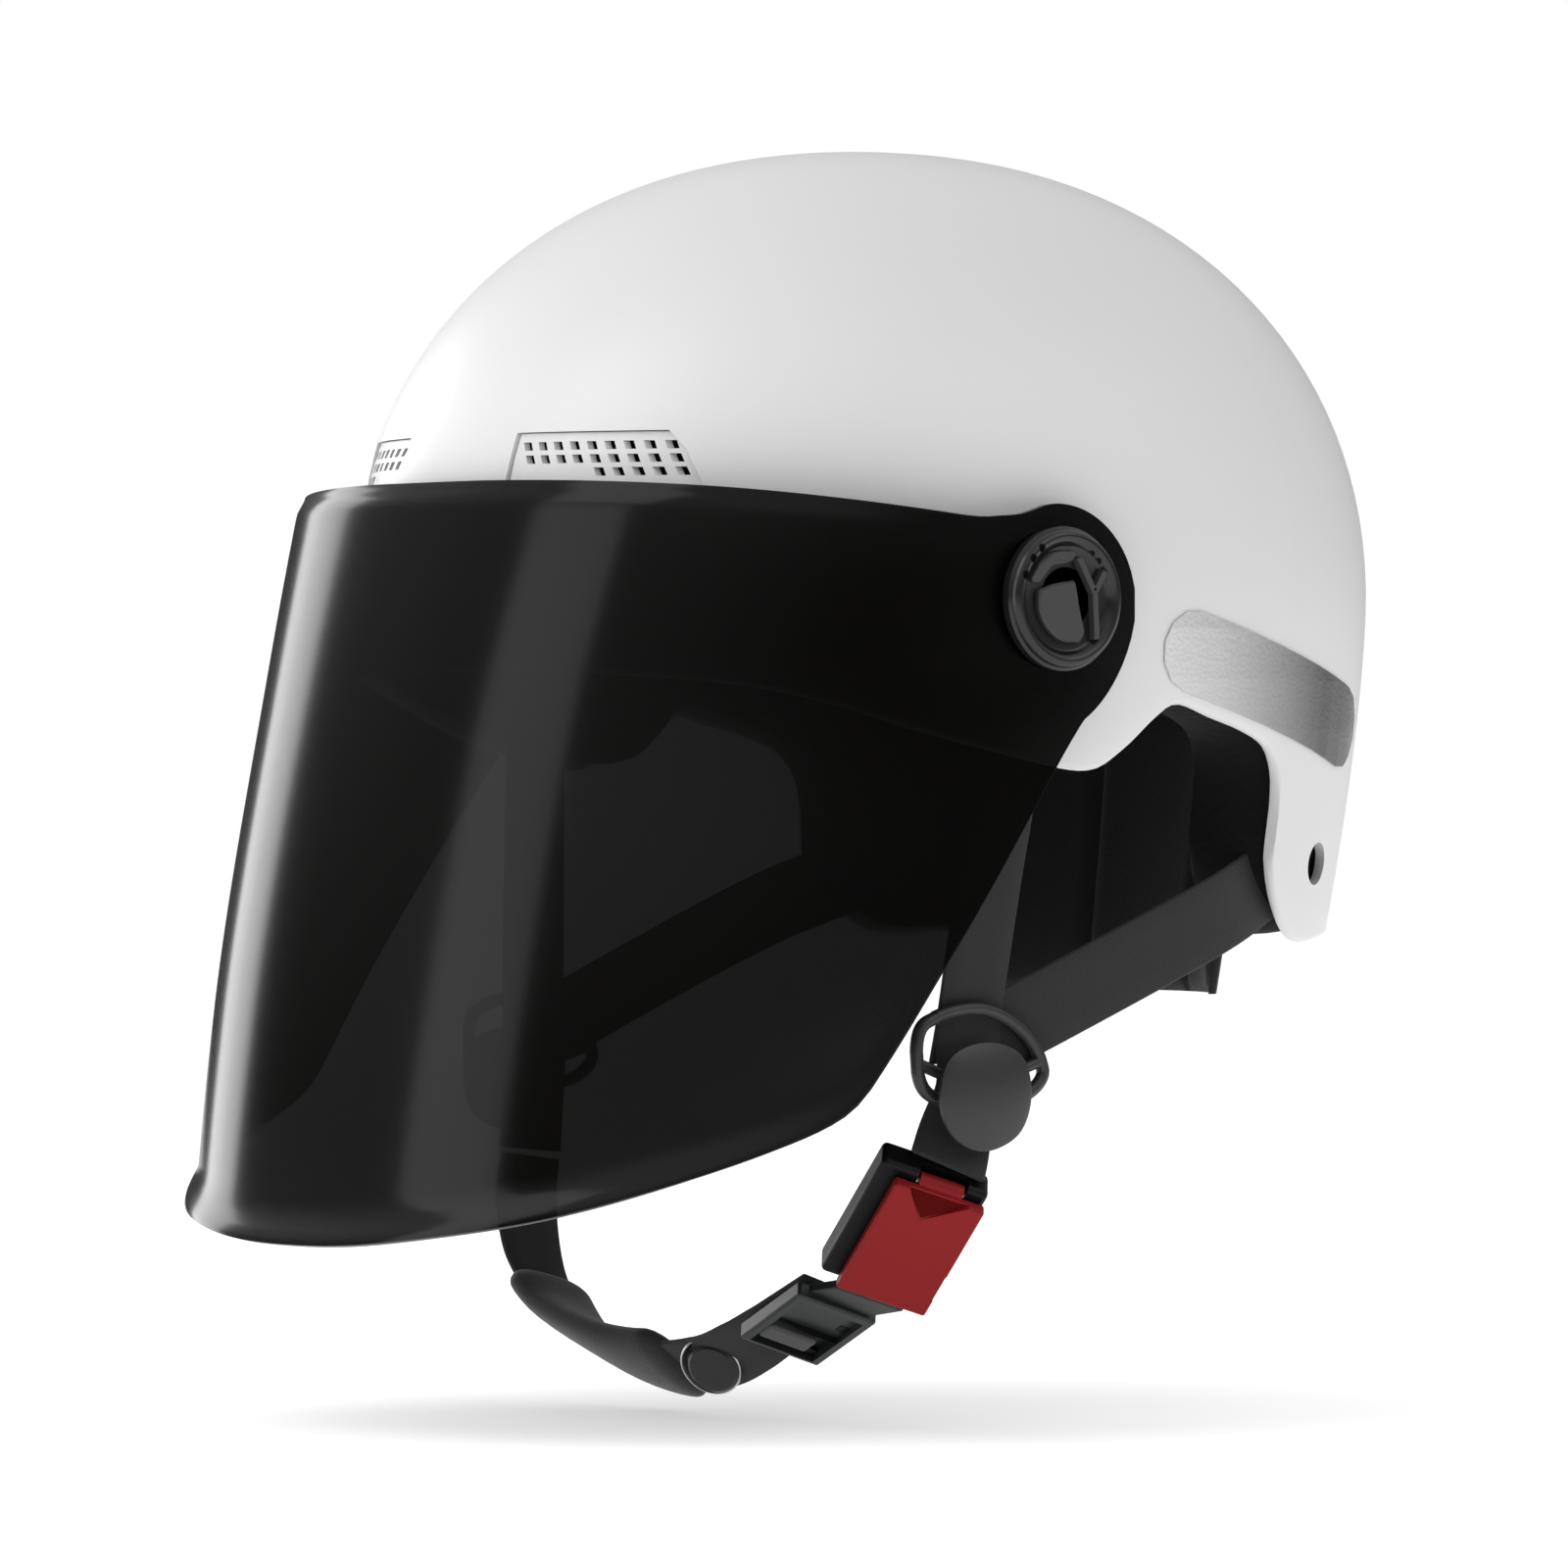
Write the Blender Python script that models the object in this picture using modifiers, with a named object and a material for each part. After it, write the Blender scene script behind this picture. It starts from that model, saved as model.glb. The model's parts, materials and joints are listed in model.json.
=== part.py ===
"""Half-face riding helmet: hard shell, foam liner, tilting smoked visor and quick-release chin strap.

Metres, +Z up. The helmet faces -Y and the wearer's left is +X. The origin is the point of the crown
pad that rests on the top of the head.
"""

import bmesh
import bpy
import math
from mathutils import Matrix, Vector

# Outer shell: a superellipse in plan and in height above its widest level, tapering in below it
SHELL_HALF_WIDTH = 0.1115
SHELL_HALF_LENGTH = 0.136
SHELL_CROWN = 0.033
WIDEST_LEVEL = -0.082
SKIRT_DEPTH = 0.098
SHELL_WALL = 0.003
PLAN_POWER = 2.2
DOME_POWER = 2.1
GAP = 0.0006

# Foam liner and comfort pads
LINER_WALL = 0.0220
PAD_THICKNESS = 0.0058
PAD_GAP = 0.0012
LINER_GAP = 0.0009
LINER_EDGE_LIFT = 0.002

# Visor
PIVOT = Vector((0.0, -0.033, -0.084))
EAR_RADIUS = 0.025
VISOR_WALL = 0.002
VISOR_TOP = -0.0585
VISOR_POWER = 2.4
EAR_X = 0.118

# Side pivots, measured along X from the middle of the helmet
BASE_OUTER_X = 0.1154
BASE_RADIUS = 0.0150
HUB_RADIUS = 0.0070
HUB_END_X = 0.1214
CAP_INNER_X = 0.1186
CAP_OUTER_X = 0.1240
CAP_RADIUS = 0.0177
DIAL_RADIUS = 0.0114
BOLT_RADIUS = 0.0022
BOLT_HEAD_RADIUS = 0.0045

# Webbing and its fittings
WEBBING_WIDTH = 0.020
WEBBING_THICKNESS = 0.0016

PARTS = None
CUTTERS = None


def clear_scene():
    for obj in list(bpy.data.objects):
        bpy.data.objects.remove(obj, do_unlink=True)


def new_collection(name):
    collection = bpy.data.collections.new(name)
    bpy.context.scene.collection.children.link(collection)
    return collection


def material(name, colour, roughness, metallic=0.0, alpha=1.0):
    found = bpy.data.materials.get(name)
    if found:
        return found
    made = bpy.data.materials.new(name)
    made.use_nodes = True
    shader = made.node_tree.nodes["Principled BSDF"]
    shader.inputs["Base Color"].default_value = (*colour, 1.0)
    shader.inputs["Roughness"].default_value = roughness
    shader.inputs["Metallic"].default_value = metallic
    shader.inputs["Alpha"].default_value = alpha
    made.diffuse_color = (*colour, alpha)
    return made


def white_gloss():
    return material("white_gloss", (0.72, 0.72, 0.71), 0.3)


def foam():
    return material("black_foam", (0.02, 0.02, 0.02), 0.9)


def comfort_fabric():
    return material("comfort_fabric", (0.015, 0.015, 0.016), 0.95)


def reflective():
    return material("reflective_film", (0.35, 0.35, 0.36), 0.35)


def smoked():
    return material("smoked_polycarbonate", (0.02, 0.018, 0.016), 0.08, alpha=0.6)


def black_plastic():
    return material("black_plastic", (0.03, 0.03, 0.03), 0.45)


def red_plastic():
    return material("red_plastic", (0.26, 0.02, 0.02), 0.35)


def steel():
    return material("steel", (0.55, 0.55, 0.56), 0.3, metallic=1.0)


def webbing():
    return material("webbing", (0.03, 0.029, 0.029), 0.85)


def frame_plastic():
    return material("frame_plastic", (0.018, 0.022, 0.021), 0.4)


def add_object(name, bm, finish, origin=None):
    """Makes a node from a bmesh in world coordinates, with its origin moved to the given point."""
    bm.normal_update()
    mesh = bpy.data.meshes.new(name)
    bm.to_mesh(mesh)
    bm.free()
    obj = bpy.data.objects.new(name, mesh)
    if finish is None:
        CUTTERS.objects.link(obj)
        obj.hide_render = True
        obj.display_type = "WIRE"
        return obj
    PARTS.objects.link(obj)
    mesh.materials.append(finish)
    if origin is not None:
        mesh.transform(Matrix.Translation(-Vector(origin)))
        obj.location = origin
    mesh.shade_smooth()
    mesh.set_sharp_from_angle(angle=math.radians(35))
    return obj


def boolean(obj, cutter, operation="DIFFERENCE"):
    modifier = obj.modifiers.new(cutter.name, "BOOLEAN")
    modifier.object = cutter
    modifier.operation = operation


def rounded(obj, width, segments=2):
    modifier = obj.modifiers.new("rounded_edges", "BEVEL")
    modifier.width = width
    modifier.segments = segments
    modifier.limit_method = "ANGLE"
    modifier.angle_limit = math.radians(40)


def face_outward(bm):
    """Turns every face of a closed mesh outward."""
    bmesh.ops.recalc_face_normals(bm, faces=bm.faces)
    if bm.calc_volume(signed=True) < 0:
        bmesh.ops.reverse_faces(bm, faces=bm.faces)


# ---------------------------------------------------------------- head-shaped surfaces


class Bowl:
    """A helmet-shaped surface that lies a given depth inside the shell's outer face."""

    def __init__(self, depth):
        self.half_width = SHELL_HALF_WIDTH - depth
        self.half_length = SHELL_HALF_LENGTH - depth
        self.crown = SHELL_CROWN - depth

    def point(self, around, down):
        """around is the angle from the front towards the left; down is 0 at the crown, 1 at the widest
        level and 1.5 at the foot of the skirt."""
        if down <= 1.0:
            slope = down * math.pi / 2
            rise = max(math.cos(slope), 0.0) ** (2 / DOME_POWER)
            spread = math.sin(slope) ** (2 / PLAN_POWER)
            z = WIDEST_LEVEL + rise * (self.crown - WIDEST_LEVEL)
        else:
            below = (down - 1.0) / 0.5 * SKIRT_DEPTH
            spread = 1.0 - 0.064 * (below / 0.073) ** 1.5
            z = WIDEST_LEVEL - below
        s, c = math.sin(around), math.cos(around)
        x = self.half_width * spread * math.copysign(abs(s) ** (2 / PLAN_POWER), s)
        y = -self.half_length * spread * math.copysign(abs(c) ** (2 / PLAN_POWER), c)
        return Vector((x, y, z))


def bowl_skin(bm, bowl, columns, rows, lowest=1.5):
    """Adds an open bowl surface, shaped from the upper part of a sphere, and returns its faces."""
    steps = round(rows * lowest)
    made = bmesh.ops.create_uvsphere(bm, u_segments=columns, v_segments=rows * 2, radius=1.0)
    limit = math.pi / 2 * (1 - steps / rows)
    kept = []
    for vertex in made["verts"]:
        latitude = math.asin(max(-1.0, min(1.0, vertex.co.z)))
        if latitude < limit - 0.01:
            bm.verts.remove(vertex)
            continue
        kept.append(vertex)
        around = math.atan2(vertex.co.x, -vertex.co.y)
        vertex.co = bowl.point(around, (math.pi / 2 - latitude) / (math.pi / 2))
    return list({face for vertex in kept for face in vertex.link_faces})


def bowl_between(name, outer, inner, finish, columns=56, rows=12, lowest=1.5):
    """A bowl-shaped wall between two bowl surfaces."""
    bm = bmesh.new()
    bowl_skin(bm, outer, columns, rows, lowest)
    bmesh.ops.reverse_faces(bm, faces=bowl_skin(bm, inner, columns, rows, lowest))
    rims = [edge for edge in bm.edges if edge.is_boundary]
    bmesh.ops.bridge_loops(bm, edges=rims)
    face_outward(bm)
    return add_object(name, bm, finish)


def bowl_filled(name, bowl, columns=56, rows=12):
    """A solid bowl, closed flat at the bottom, for use as a cutter."""
    bm = bmesh.new()
    bowl_skin(bm, bowl, columns, rows)
    rims = [edge for edge in bm.edges if edge.is_boundary]
    bmesh.ops.contextual_create(bm, geom=rims)
    face_outward(bm)
    return add_object(name, bm, None)


def bowl_patch(name, outer_depth, thickness, around, down, finish, columns=12, rows=6):
    """A pad that follows the bowl between two angles (degrees) and two heights."""
    bm = bmesh.new()
    bmesh.ops.create_grid(bm, x_segments=columns, y_segments=rows, size=1.0)
    bowl = Bowl(outer_depth)
    for vertex in bm.verts:
        across = (vertex.co.x + 1) / 2
        along = (vertex.co.y + 1) / 2
        angle = math.radians(around[0] + across * (around[1] - around[0]))
        vertex.co = bowl.point(angle, down[0] + along * (down[1] - down[0]))
    bm.normal_update()
    first = next(iter(bm.faces))
    centre = first.calc_center_median()
    if first.normal.dot(Vector((centre.x, centre.y, 0))) < 0:
        bmesh.ops.reverse_faces(bm, faces=bm.faces)
    obj = add_object(name, bm, finish)
    wall = obj.modifiers.new("thickness", "SOLIDIFY")
    wall.thickness = thickness
    wall.offset = -1.0
    return obj


def prism(name, outline, along, start, end, smooth=False, finish=None):
    """A closed outline of (Y, Z) or (X, Z) points swept along X or Y; a cutter unless it has a finish."""
    curve = bpy.data.curves.new(name, "CURVE")
    curve.dimensions = "2D"
    curve.fill_mode = "BOTH"
    curve.extrude = abs(end - start) / 2
    curve.resolution_u = 5
    spline = curve.splines.new("BEZIER")
    spline.bezier_points.add(len(outline) - 1)
    for point, (across, up) in zip(spline.bezier_points, outline):
        point.co = (across, up, 0.0)
        point.handle_left_type = "AUTO" if smooth else "VECTOR"
        point.handle_right_type = "AUTO" if smooth else "VECTOR"
    spline.use_cyclic_u = True
    guide = bpy.data.objects.new(name + "_outline", curve)
    CUTTERS.objects.link(guide)
    middle = (start + end) / 2
    if along == "X":
        guide.matrix_world = Matrix.Translation((middle, 0, 0)) @ Matrix(
            ((0, 0, 1, 0), (1, 0, 0, 0), (0, 1, 0, 0), (0, 0, 0, 1))
        )
    else:
        guide.matrix_world = Matrix.Translation((0, middle, 0)) @ Matrix(
            ((1, 0, 0, 0), (0, 0, -1, 0), (0, 1, 0, 0), (0, 0, 0, 1))
        )
    bpy.context.view_layer.update()
    graph = bpy.context.evaluated_depsgraph_get()
    mesh = bpy.data.meshes.new_from_object(guide.evaluated_get(graph))
    bm = bmesh.new()
    bm.from_mesh(mesh)
    bm.transform(guide.matrix_world)
    bmesh.ops.remove_doubles(bm, verts=bm.verts, dist=1e-6)
    face_outward(bm)
    bpy.data.objects.remove(guide, do_unlink=True)
    return add_object(name, bm, finish)


def cylinder(name, axis, centre, radius, length, finish, segments=32, top_radius=None):
    """A cylinder or cone along X, Y or Z; the top is its end in the axis's own direction."""
    bm = bmesh.new()
    turn = {"X": Matrix.Rotation(math.pi / 2, 4, "Y"), "Y": Matrix.Rotation(-math.pi / 2, 4, "X")}
    bmesh.ops.create_cone(
        bm,
        cap_ends=True,
        segments=segments,
        radius1=radius,
        radius2=radius if top_radius is None else top_radius,
        depth=length,
        matrix=Matrix.Translation(centre) @ turn.get(axis, Matrix.Identity(4)),
    )
    face_outward(bm)
    return add_object(name, bm, finish, origin=None if finish is None else centre)


def box(name, centre, size, finish, turn=None):
    """A box with its own rotation matrix about its centre."""
    bm = bmesh.new()
    bmesh.ops.create_cube(bm, size=1.0, matrix=Matrix.Diagonal((*size, 1.0)))
    bm.transform(Matrix.Translation(centre) @ (turn.to_4x4() if turn else Matrix.Identity(4)))
    face_outward(bm)
    return add_object(name, bm, finish, origin=None if finish is None else centre)


# ---------------------------------------------------------------- shell, liner and pads

# The shell's lower edge in side view, (Y, Z): brim, temple lobe, ear notch, neck lobe, nape
LOWER_EDGE = [
    (-0.160, -0.100),
    (-0.130, -0.102),
    (-0.095, -0.1065),
    (-0.060, -0.117),
    (-0.030, -0.1242),
    (-0.0130, -0.1262),
    (-0.0030, -0.1212),
    (0.0070, -0.1132),
    (0.0145, -0.1097),
    (0.0268, -0.1130),
    (0.0400, -0.1165),
    (0.0500, -0.1207),
    (0.0550, -0.1280),
    (0.0561, -0.1385),
    (0.0552, -0.1475),
    (0.0590, -0.1580),
    (0.0670, -0.1668),
    (0.0760, -0.1700),
    (0.0950, -0.1690),
    (0.1600, -0.1650),
]


def edge_cutter(name, lift):
    """Everything below the lower edge, raised by lift."""
    outline = [(y, z + lift) for y, z in LOWER_EDGE]
    return prism(name, outline + [(0.160, -0.230), (-0.160, -0.230)], "X", -0.15, 0.15, smooth=True)


# A vent in front view, (X, Z), for the left side
VENT_OUTLINE = [(0.0225, -0.0425), (0.0615, -0.0425), (0.0660, -0.0470), (0.0735, -0.0600), (0.0225, -0.0600)]
VENT_ROWS = (range(9), range(9), range(4, 9))  # the columns that each row fills
VENT_PITCH = 0.0045
VENT_ROW_STEP = 0.0033
VENT_LEAN = 0.0018
VENT_FIRST = (0.0262, -0.0460)
VENT_HOLE = (0.0024, 0.0021)
VENT_BAR_Y = -0.120
VENT_BAR_LENGTH = 0.080

# Holes through the shell, and the pocket in the liner behind each pivot bolt
BOLT_HOLE_RADIUS = 0.0030
BOLT_POCKET_RADIUS = 0.0065
NECK_HOLE = (0.0800, -0.1500)
NECK_HOLE_RADIUS = 0.0055


def vent_prism(name, side, inset, start, end):
    middle_x = sum(x for x, _ in VENT_OUTLINE) / len(VENT_OUTLINE)
    middle_z = sum(z for _, z in VENT_OUTLINE) / len(VENT_OUTLINE)
    width = max(x for x, _ in VENT_OUTLINE) - min(x for x, _ in VENT_OUTLINE)
    height = max(z for _, z in VENT_OUTLINE) - min(z for _, z in VENT_OUTLINE)
    outline = [
        (
            side * (middle_x + (x - middle_x) * (1 - 2 * inset / width)),
            middle_z + (z - middle_z) * (1 - 2 * inset / height),
        )
        for x, z in VENT_OUTLINE
    ]
    return prism(name, outline, "Y", start, end)


def make_shell():
    shell = bowl_between("outer_shell", Bowl(0), Bowl(SHELL_WALL), white_gloss(), 44, 10)
    boolean(shell, edge_cutter("shell_edge_cutter", 0))
    for side, word in ((1, "left"), (-1, "right")):
        boolean(shell, vent_prism(f"vent_opening_{word}", side, 0, -0.150, -0.090))
        bolt_spot = (side * 0.105, PIVOT.y, PIVOT.z)
        boolean(shell, cylinder(f"shell_bolt_hole_{word}", "X", bolt_spot, BOLT_HOLE_RADIUS, 0.03, None))
        neck_spot = (side * 0.090, *NECK_HOLE)
        boolean(shell, cylinder(f"neck_hole_{word}", "X", neck_spot, NECK_HOLE_RADIUS, 0.05, None, 20))


def make_liner():
    depth = SHELL_WALL + LINER_GAP
    liner = bowl_between("foam_liner", Bowl(depth), Bowl(depth + LINER_WALL), foam(), 36, 8)
    boolean(liner, edge_cutter("liner_edge_cutter", LINER_EDGE_LIFT))
    for side, word in ((1, "left"), (-1, "right")):
        boolean(liner, vent_prism(f"vent_pocket_{word}", side, -0.001, -0.150, -0.098))
        bolt_spot = (side * 0.099, PIVOT.y, PIVOT.z)
        boolean(liner, cylinder(f"bolt_pocket_{word}", "X", bolt_spot, BOLT_POCKET_RADIUS, 0.016, None))
    return liner


def vent_holes(name, side):
    """All the holes of one grille as one cutter: leaning square bars along Y."""
    bm = bmesh.new()
    lean = Matrix.Identity(4)
    lean[0][2] = -side * VENT_LEAN / VENT_ROW_STEP
    size = Matrix.Diagonal((VENT_HOLE[0], VENT_BAR_LENGTH, VENT_HOLE[1], 1.0))
    for row, columns in enumerate(VENT_ROWS):
        for column in columns:
            x = VENT_FIRST[0] + column * VENT_PITCH + row * VENT_LEAN
            spot = Matrix.Translation((side * x, VENT_BAR_Y, VENT_FIRST[1] - row * VENT_ROW_STEP))
            bmesh.ops.create_cube(bm, size=1.0, matrix=spot @ lean @ size)
    face_outward(bm)
    return add_object(name, bm, None)


def make_grilles():
    for side, word in ((1, "left"), (-1, "right")):
        low, high = sorted((side * 8, side * 48))
        grille = bowl_patch(
            f"vent_grille_{word}", 0.0009, 0.0016, (low, high), (0.68, 0.92), white_gloss(), 10, 5
        )
        boolean(grille, vent_prism(f"grille_outline_{word}", side, 0.0003, -0.160, -0.080), "INTERSECT")
        boolean(grille, vent_holes(f"grille_holes_{word}", side))


# The reflective film in side view, (Y, Z): a slanted band with round ends
REFLECTOR_START = (0.0180, -0.0965)
REFLECTOR_END = (0.0880, -0.1150)
REFLECTOR_HALF_HEIGHT = 0.0104
REFLECTOR_GAP = 0.0003
REFLECTOR_THICKNESS = 0.0004


def reflector_outline():
    start, end = Vector(REFLECTOR_START), Vector(REFLECTOR_END)
    angle = math.atan2(end.y - start.y, end.x - start.x)
    points = []
    for centre, first in ((end, -90), (start, 90)):
        for step in range(7):
            turn = math.radians(first + 30 * step) + angle
            reach = REFLECTOR_HALF_HEIGHT
            points.append((centre.x + reach * math.cos(turn), centre.y + reach * math.sin(turn)))
    return points


def make_reflectors():
    for side, word in ((1, "left"), (-1, "right")):
        low, high = sorted((side * 88, side * 150))
        film = bowl_patch(
            f"reflector_{word}",
            -REFLECTOR_GAP - REFLECTOR_THICKNESS,
            REFLECTOR_THICKNESS,
            (low, high),
            (0.98, 1.30),
            reflective(),
            14,
            5,
        )
        near, far = sorted((side * 0.05, side * 0.15))
        boolean(film, prism(f"reflector_outline_{word}", reflector_outline(), "X", near, far), "INTERSECT")


def make_pads():
    depth = SHELL_WALL + LINER_GAP + LINER_WALL + PAD_GAP
    pad = bowl_between("crown_pad", Bowl(depth), Bowl(depth + PAD_THICKNESS), comfort_fabric(), 28, 8, 0.375)
    rounded(pad, 0.0015, 1)
    bowl_patch("brow_pad", depth, PAD_THICKNESS, (-52, 52), (0.82, 1.055), comfort_fabric(), 16, 4)
    for side, word in ((1, "left"), (-1, "right")):
        low, high = sorted((side * 58, side * 136))
        bowl_patch(
            f"side_pad_{word}", depth, PAD_THICKNESS, (low, high), (0.60, 1.085), comfort_fabric(), 14, 6
        )
    bowl_patch("nape_pad", depth, PAD_THICKNESS, (138, 222), (1.10, 1.52), comfort_fabric(), 16, 6)


# ---------------------------------------------------------------- visor and its pivots


def ease(value, start, end):
    """Runs smoothly from 0 at start to 1 at end."""
    t = max(0.0, min(1.0, (value - start) / (end - start)))
    return t * t * (3 - 2 * t)


def through(points, at):
    """Reads a line through (position, value) points at one position."""
    if at <= points[0][0]:
        return points[0][1]
    for (a, first), (b, second) in zip(points, points[1:]):
        if at <= b:
            return first + (second - first) * (at - a) / (b - a)
    return points[-1][1]


# Edges of the visor in side view, each a list of (Y, Z) from the back to the front
VISOR_UPPER = [
    (-0.0455, -0.0632),
    (-0.0560, -0.0640),
    (-0.0700, -0.0625),
    (-0.0900, -0.0600),
    (-0.1150, -0.0570),
    (-0.1400, -0.0545),
]
VISOR_LOWER = [
    (-0.0250, -0.1148),
    (-0.0330, -0.1250),
    (-0.0520, -0.1510),
    (-0.0710, -0.1770),
    (-0.0860, -0.1985),
    (-0.0930, -0.2075),
    (-0.1010, -0.2130),
    (-0.1150, -0.2190),
    (-0.1330, -0.2258),
    (-0.1560, -0.2345),
    (-0.1720, -0.2400),
    (-0.1800, -0.2440),
]
EAR_CENTRE = (-0.0322, -0.0855)
EAR_TIP = EAR_CENTRE[0] + EAR_RADIUS
LIP_HEIGHT = 0.008
LIP_FLARE = 0.0028
RIM_HEIGHT = 0.0050
RIM_DEPTH = 0.0012
EAR_DROP = 0.031
EAR_POWER = 1.7


def ear_half_height(y):
    return math.sqrt(max(EAR_RADIUS**2 - (y - EAR_CENTRE[0]) ** 2, 0.0))


def ear_depth(y):
    """How far the ear reaches below its middle, deeper than it reaches above."""
    share = min(abs(y - EAR_CENTRE[0]) / EAR_RADIUS, 1.0)
    return EAR_DROP * (1 - share**EAR_POWER) ** (1 / EAR_POWER)


def visor_upper(y):
    upper = through([(-p, q) for p, q in VISOR_UPPER], -y)
    ear = EAR_CENTRE[1] + ear_half_height(y)
    if y > EAR_CENTRE[0]:
        return ear
    return ear + (upper - ear) * ease(-y, 0.0340, 0.0500)


def visor_lower(y):
    if y > VISOR_LOWER[0][0]:
        return EAR_CENTRE[1] - ear_depth(y)
    return through([(-p, q) for p, q in VISOR_LOWER], -y)


def visor_section(z):
    """Half-width and forward reach of the visor at a height."""
    t = (VISOR_TOP - z) / 0.17
    reach = 0.1090 + 0.0495 * t - 0.0147 * t * t
    return EAR_X + 0.0042 * ease(-z, 0.10, 0.19), reach


def visor_point(along, up):
    """along runs 0 to 1 from the tip of an ear to the front middle; up runs 0 to 1 from the lower to
    the upper edge."""
    flat = 0.22
    if along < flat:
        y = EAR_TIP + (PIVOT.y - EAR_TIP) * math.sin(along / flat * math.pi / 2)
        turn = 0.0
    else:
        y = PIVOT.y
        turn = (along - flat) / (1 - flat) * math.pi / 2
    forward = math.sin(turn) ** (2 / VISOR_POWER)
    sideways = math.cos(turn) ** (2 / VISOR_POWER) if turn < math.pi / 2 - 1e-6 else 0.0
    low = high = z = 0.0
    for guess in range(4):
        width, reach = visor_section(z if guess else -0.15)
        here = y - reach * forward
        low, high = visor_lower(here), visor_upper(here)
        z = low + (high - low) * up
    width, reach = visor_section(z)
    ahead = ease(forward, 0.25, 0.75)
    lip = LIP_FLARE * (1 - ease(z - low, 0, LIP_HEIGHT)) * ahead
    rim = RIM_DEPTH * (1 - ease(high - z, 0, RIM_HEIGHT)) * ahead
    grow = 1 + (lip - rim) / reach
    return Vector((width * sideways * grow, y - reach * forward * grow, z))


def heights(count):
    """Levels from 0 to 1, closer together at the lower and upper edges, where the lip and the rim are."""
    inner = [0.08 + 0.84 * i / (count - 5) for i in range(count - 4)]
    return [0.0, 0.03] + inner + [0.97, 1.0]


def make_visor(columns=22, rows=10):
    bm = bmesh.new()
    levels = heights(rows)
    bmesh.ops.create_grid(bm, x_segments=columns * 2, y_segments=len(levels) - 1, size=1.0)
    for vertex in bm.verts:
        along = 1 - abs(vertex.co.x)
        level = levels[round((vertex.co.y + 1) / 2 * (len(levels) - 1))]
        side = math.copysign(1, vertex.co.x)
        along = max(along, 0.012)
        spot = visor_point(along, level)
        vertex.co = (side * spot.x, spot.y, spot.z)
    bm.normal_update()
    front = max(bm.faces, key=lambda face: -face.calc_center_median().y)
    if front.normal.y > 0:
        bmesh.ops.reverse_faces(bm, faces=bm.faces)
    visor = add_object("visor", bm, smoked(), origin=PIVOT)
    wall = visor.modifiers.new("thickness", "SOLIDIFY")
    wall.thickness = VISOR_WALL
    wall.offset = -1.0
    for side, word in ((1, "left"), (-1, "right")):
        centre = (side * EAR_X, PIVOT.y, PIVOT.z)
        hole = cylinder(f"visor_hub_hole_{word}", "X", centre, HUB_RADIUS + GAP, 0.02, None, 24)
        boolean(visor, hole)


def make_pivots():
    """On each side: a base on the shell with a hub for the visor, a bolt from inside and a locking cap."""
    shell_side = bowl_filled("shell_face_cutter", Bowl(-0.0004), 56, 12)
    for side, word in ((1, "left"), (-1, "right")):
        base_start = 0.098
        middle = (base_start + BASE_OUTER_X) / 2
        spot = (side * middle, PIVOT.y, PIVOT.z)
        base_length = BASE_OUTER_X - base_start
        base = cylinder(f"pivot_base_{word}", "X", spot, BASE_RADIUS, base_length, black_plastic(), 28)
        hub_start = BASE_OUTER_X - 0.002
        hub_spot = (side * (hub_start + HUB_END_X) / 2, PIVOT.y, PIVOT.z)
        hub = cylinder(f"hub_{word}", "X", hub_spot, HUB_RADIUS, HUB_END_X - hub_start, None, 24)
        boolean(base, hub, "UNION")
        boolean(base, shell_side)
        bore_spot = (side * 0.110, PIVOT.y, PIVOT.z)
        bore = cylinder(f"bolt_bore_{word}", "X", bore_spot, BOLT_RADIUS + GAP, 0.018, None, 16)
        boolean(base, bore)

        head_x, head_length, shank_end = 0.1030, 0.0025, 0.1180
        bolt = cylinder(
            f"pivot_bolt_{word}",
            "X",
            (side * (head_x + shank_end) / 2, PIVOT.y, PIVOT.z),
            BOLT_RADIUS,
            shank_end - head_x,
            steel(),
            16,
        )
        head_spot = (side * (head_x - head_length / 2 + 0.0005), PIVOT.y, PIVOT.z)
        head = cylinder(f"bolt_head_{word}", "X", head_spot, BOLT_HEAD_RADIUS, head_length, None, 16)
        boolean(bolt, head, "UNION")
        make_cap(side, word)


def make_cap(side, word):
    """A round locking cap with a raised rim, a recessed dial and a grip rib, which turns on the hub."""
    middle = side * (CAP_INNER_X + CAP_OUTER_X) / 2
    length = CAP_OUTER_X - CAP_INNER_X
    centre = (middle, PIVOT.y, PIVOT.z)
    cap = cylinder(f"lock_cap_{word}", "X", centre, CAP_RADIUS, length, black_plastic(), 40)
    rounded(cap, 0.0008, 1)
    recess_x = side * (CAP_OUTER_X + 0.0010)
    recess = cylinder(f"dial_recess_{word}", "X", (recess_x, PIVOT.y, PIVOT.z), DIAL_RADIUS, 0.0044, None, 32)
    boolean(cap, recess)
    socket_x = side * (CAP_INNER_X - 0.002)
    socket_length = 2 * (HUB_END_X + GAP - CAP_INNER_X + 0.002)
    socket = cylinder(
        f"hub_socket_{word}", "X", (socket_x, PIVOT.y, PIVOT.z), HUB_RADIUS + GAP, socket_length, None, 24
    )
    rib_turn = Matrix.Rotation(math.radians(-12), 3, "X")
    rib_spot = Vector((side * (CAP_OUTER_X - 0.0012), PIVOT.y + 0.0035, PIVOT.z - 0.0010))
    rib = box(f"grip_rib_{word}", rib_spot, (0.0026, 0.0032, 0.0215), None, rib_turn)
    boolean(cap, rib, "UNION")
    boolean(cap, socket)


# ---------------------------------------------------------------- webbing, yokes and buckle


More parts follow.
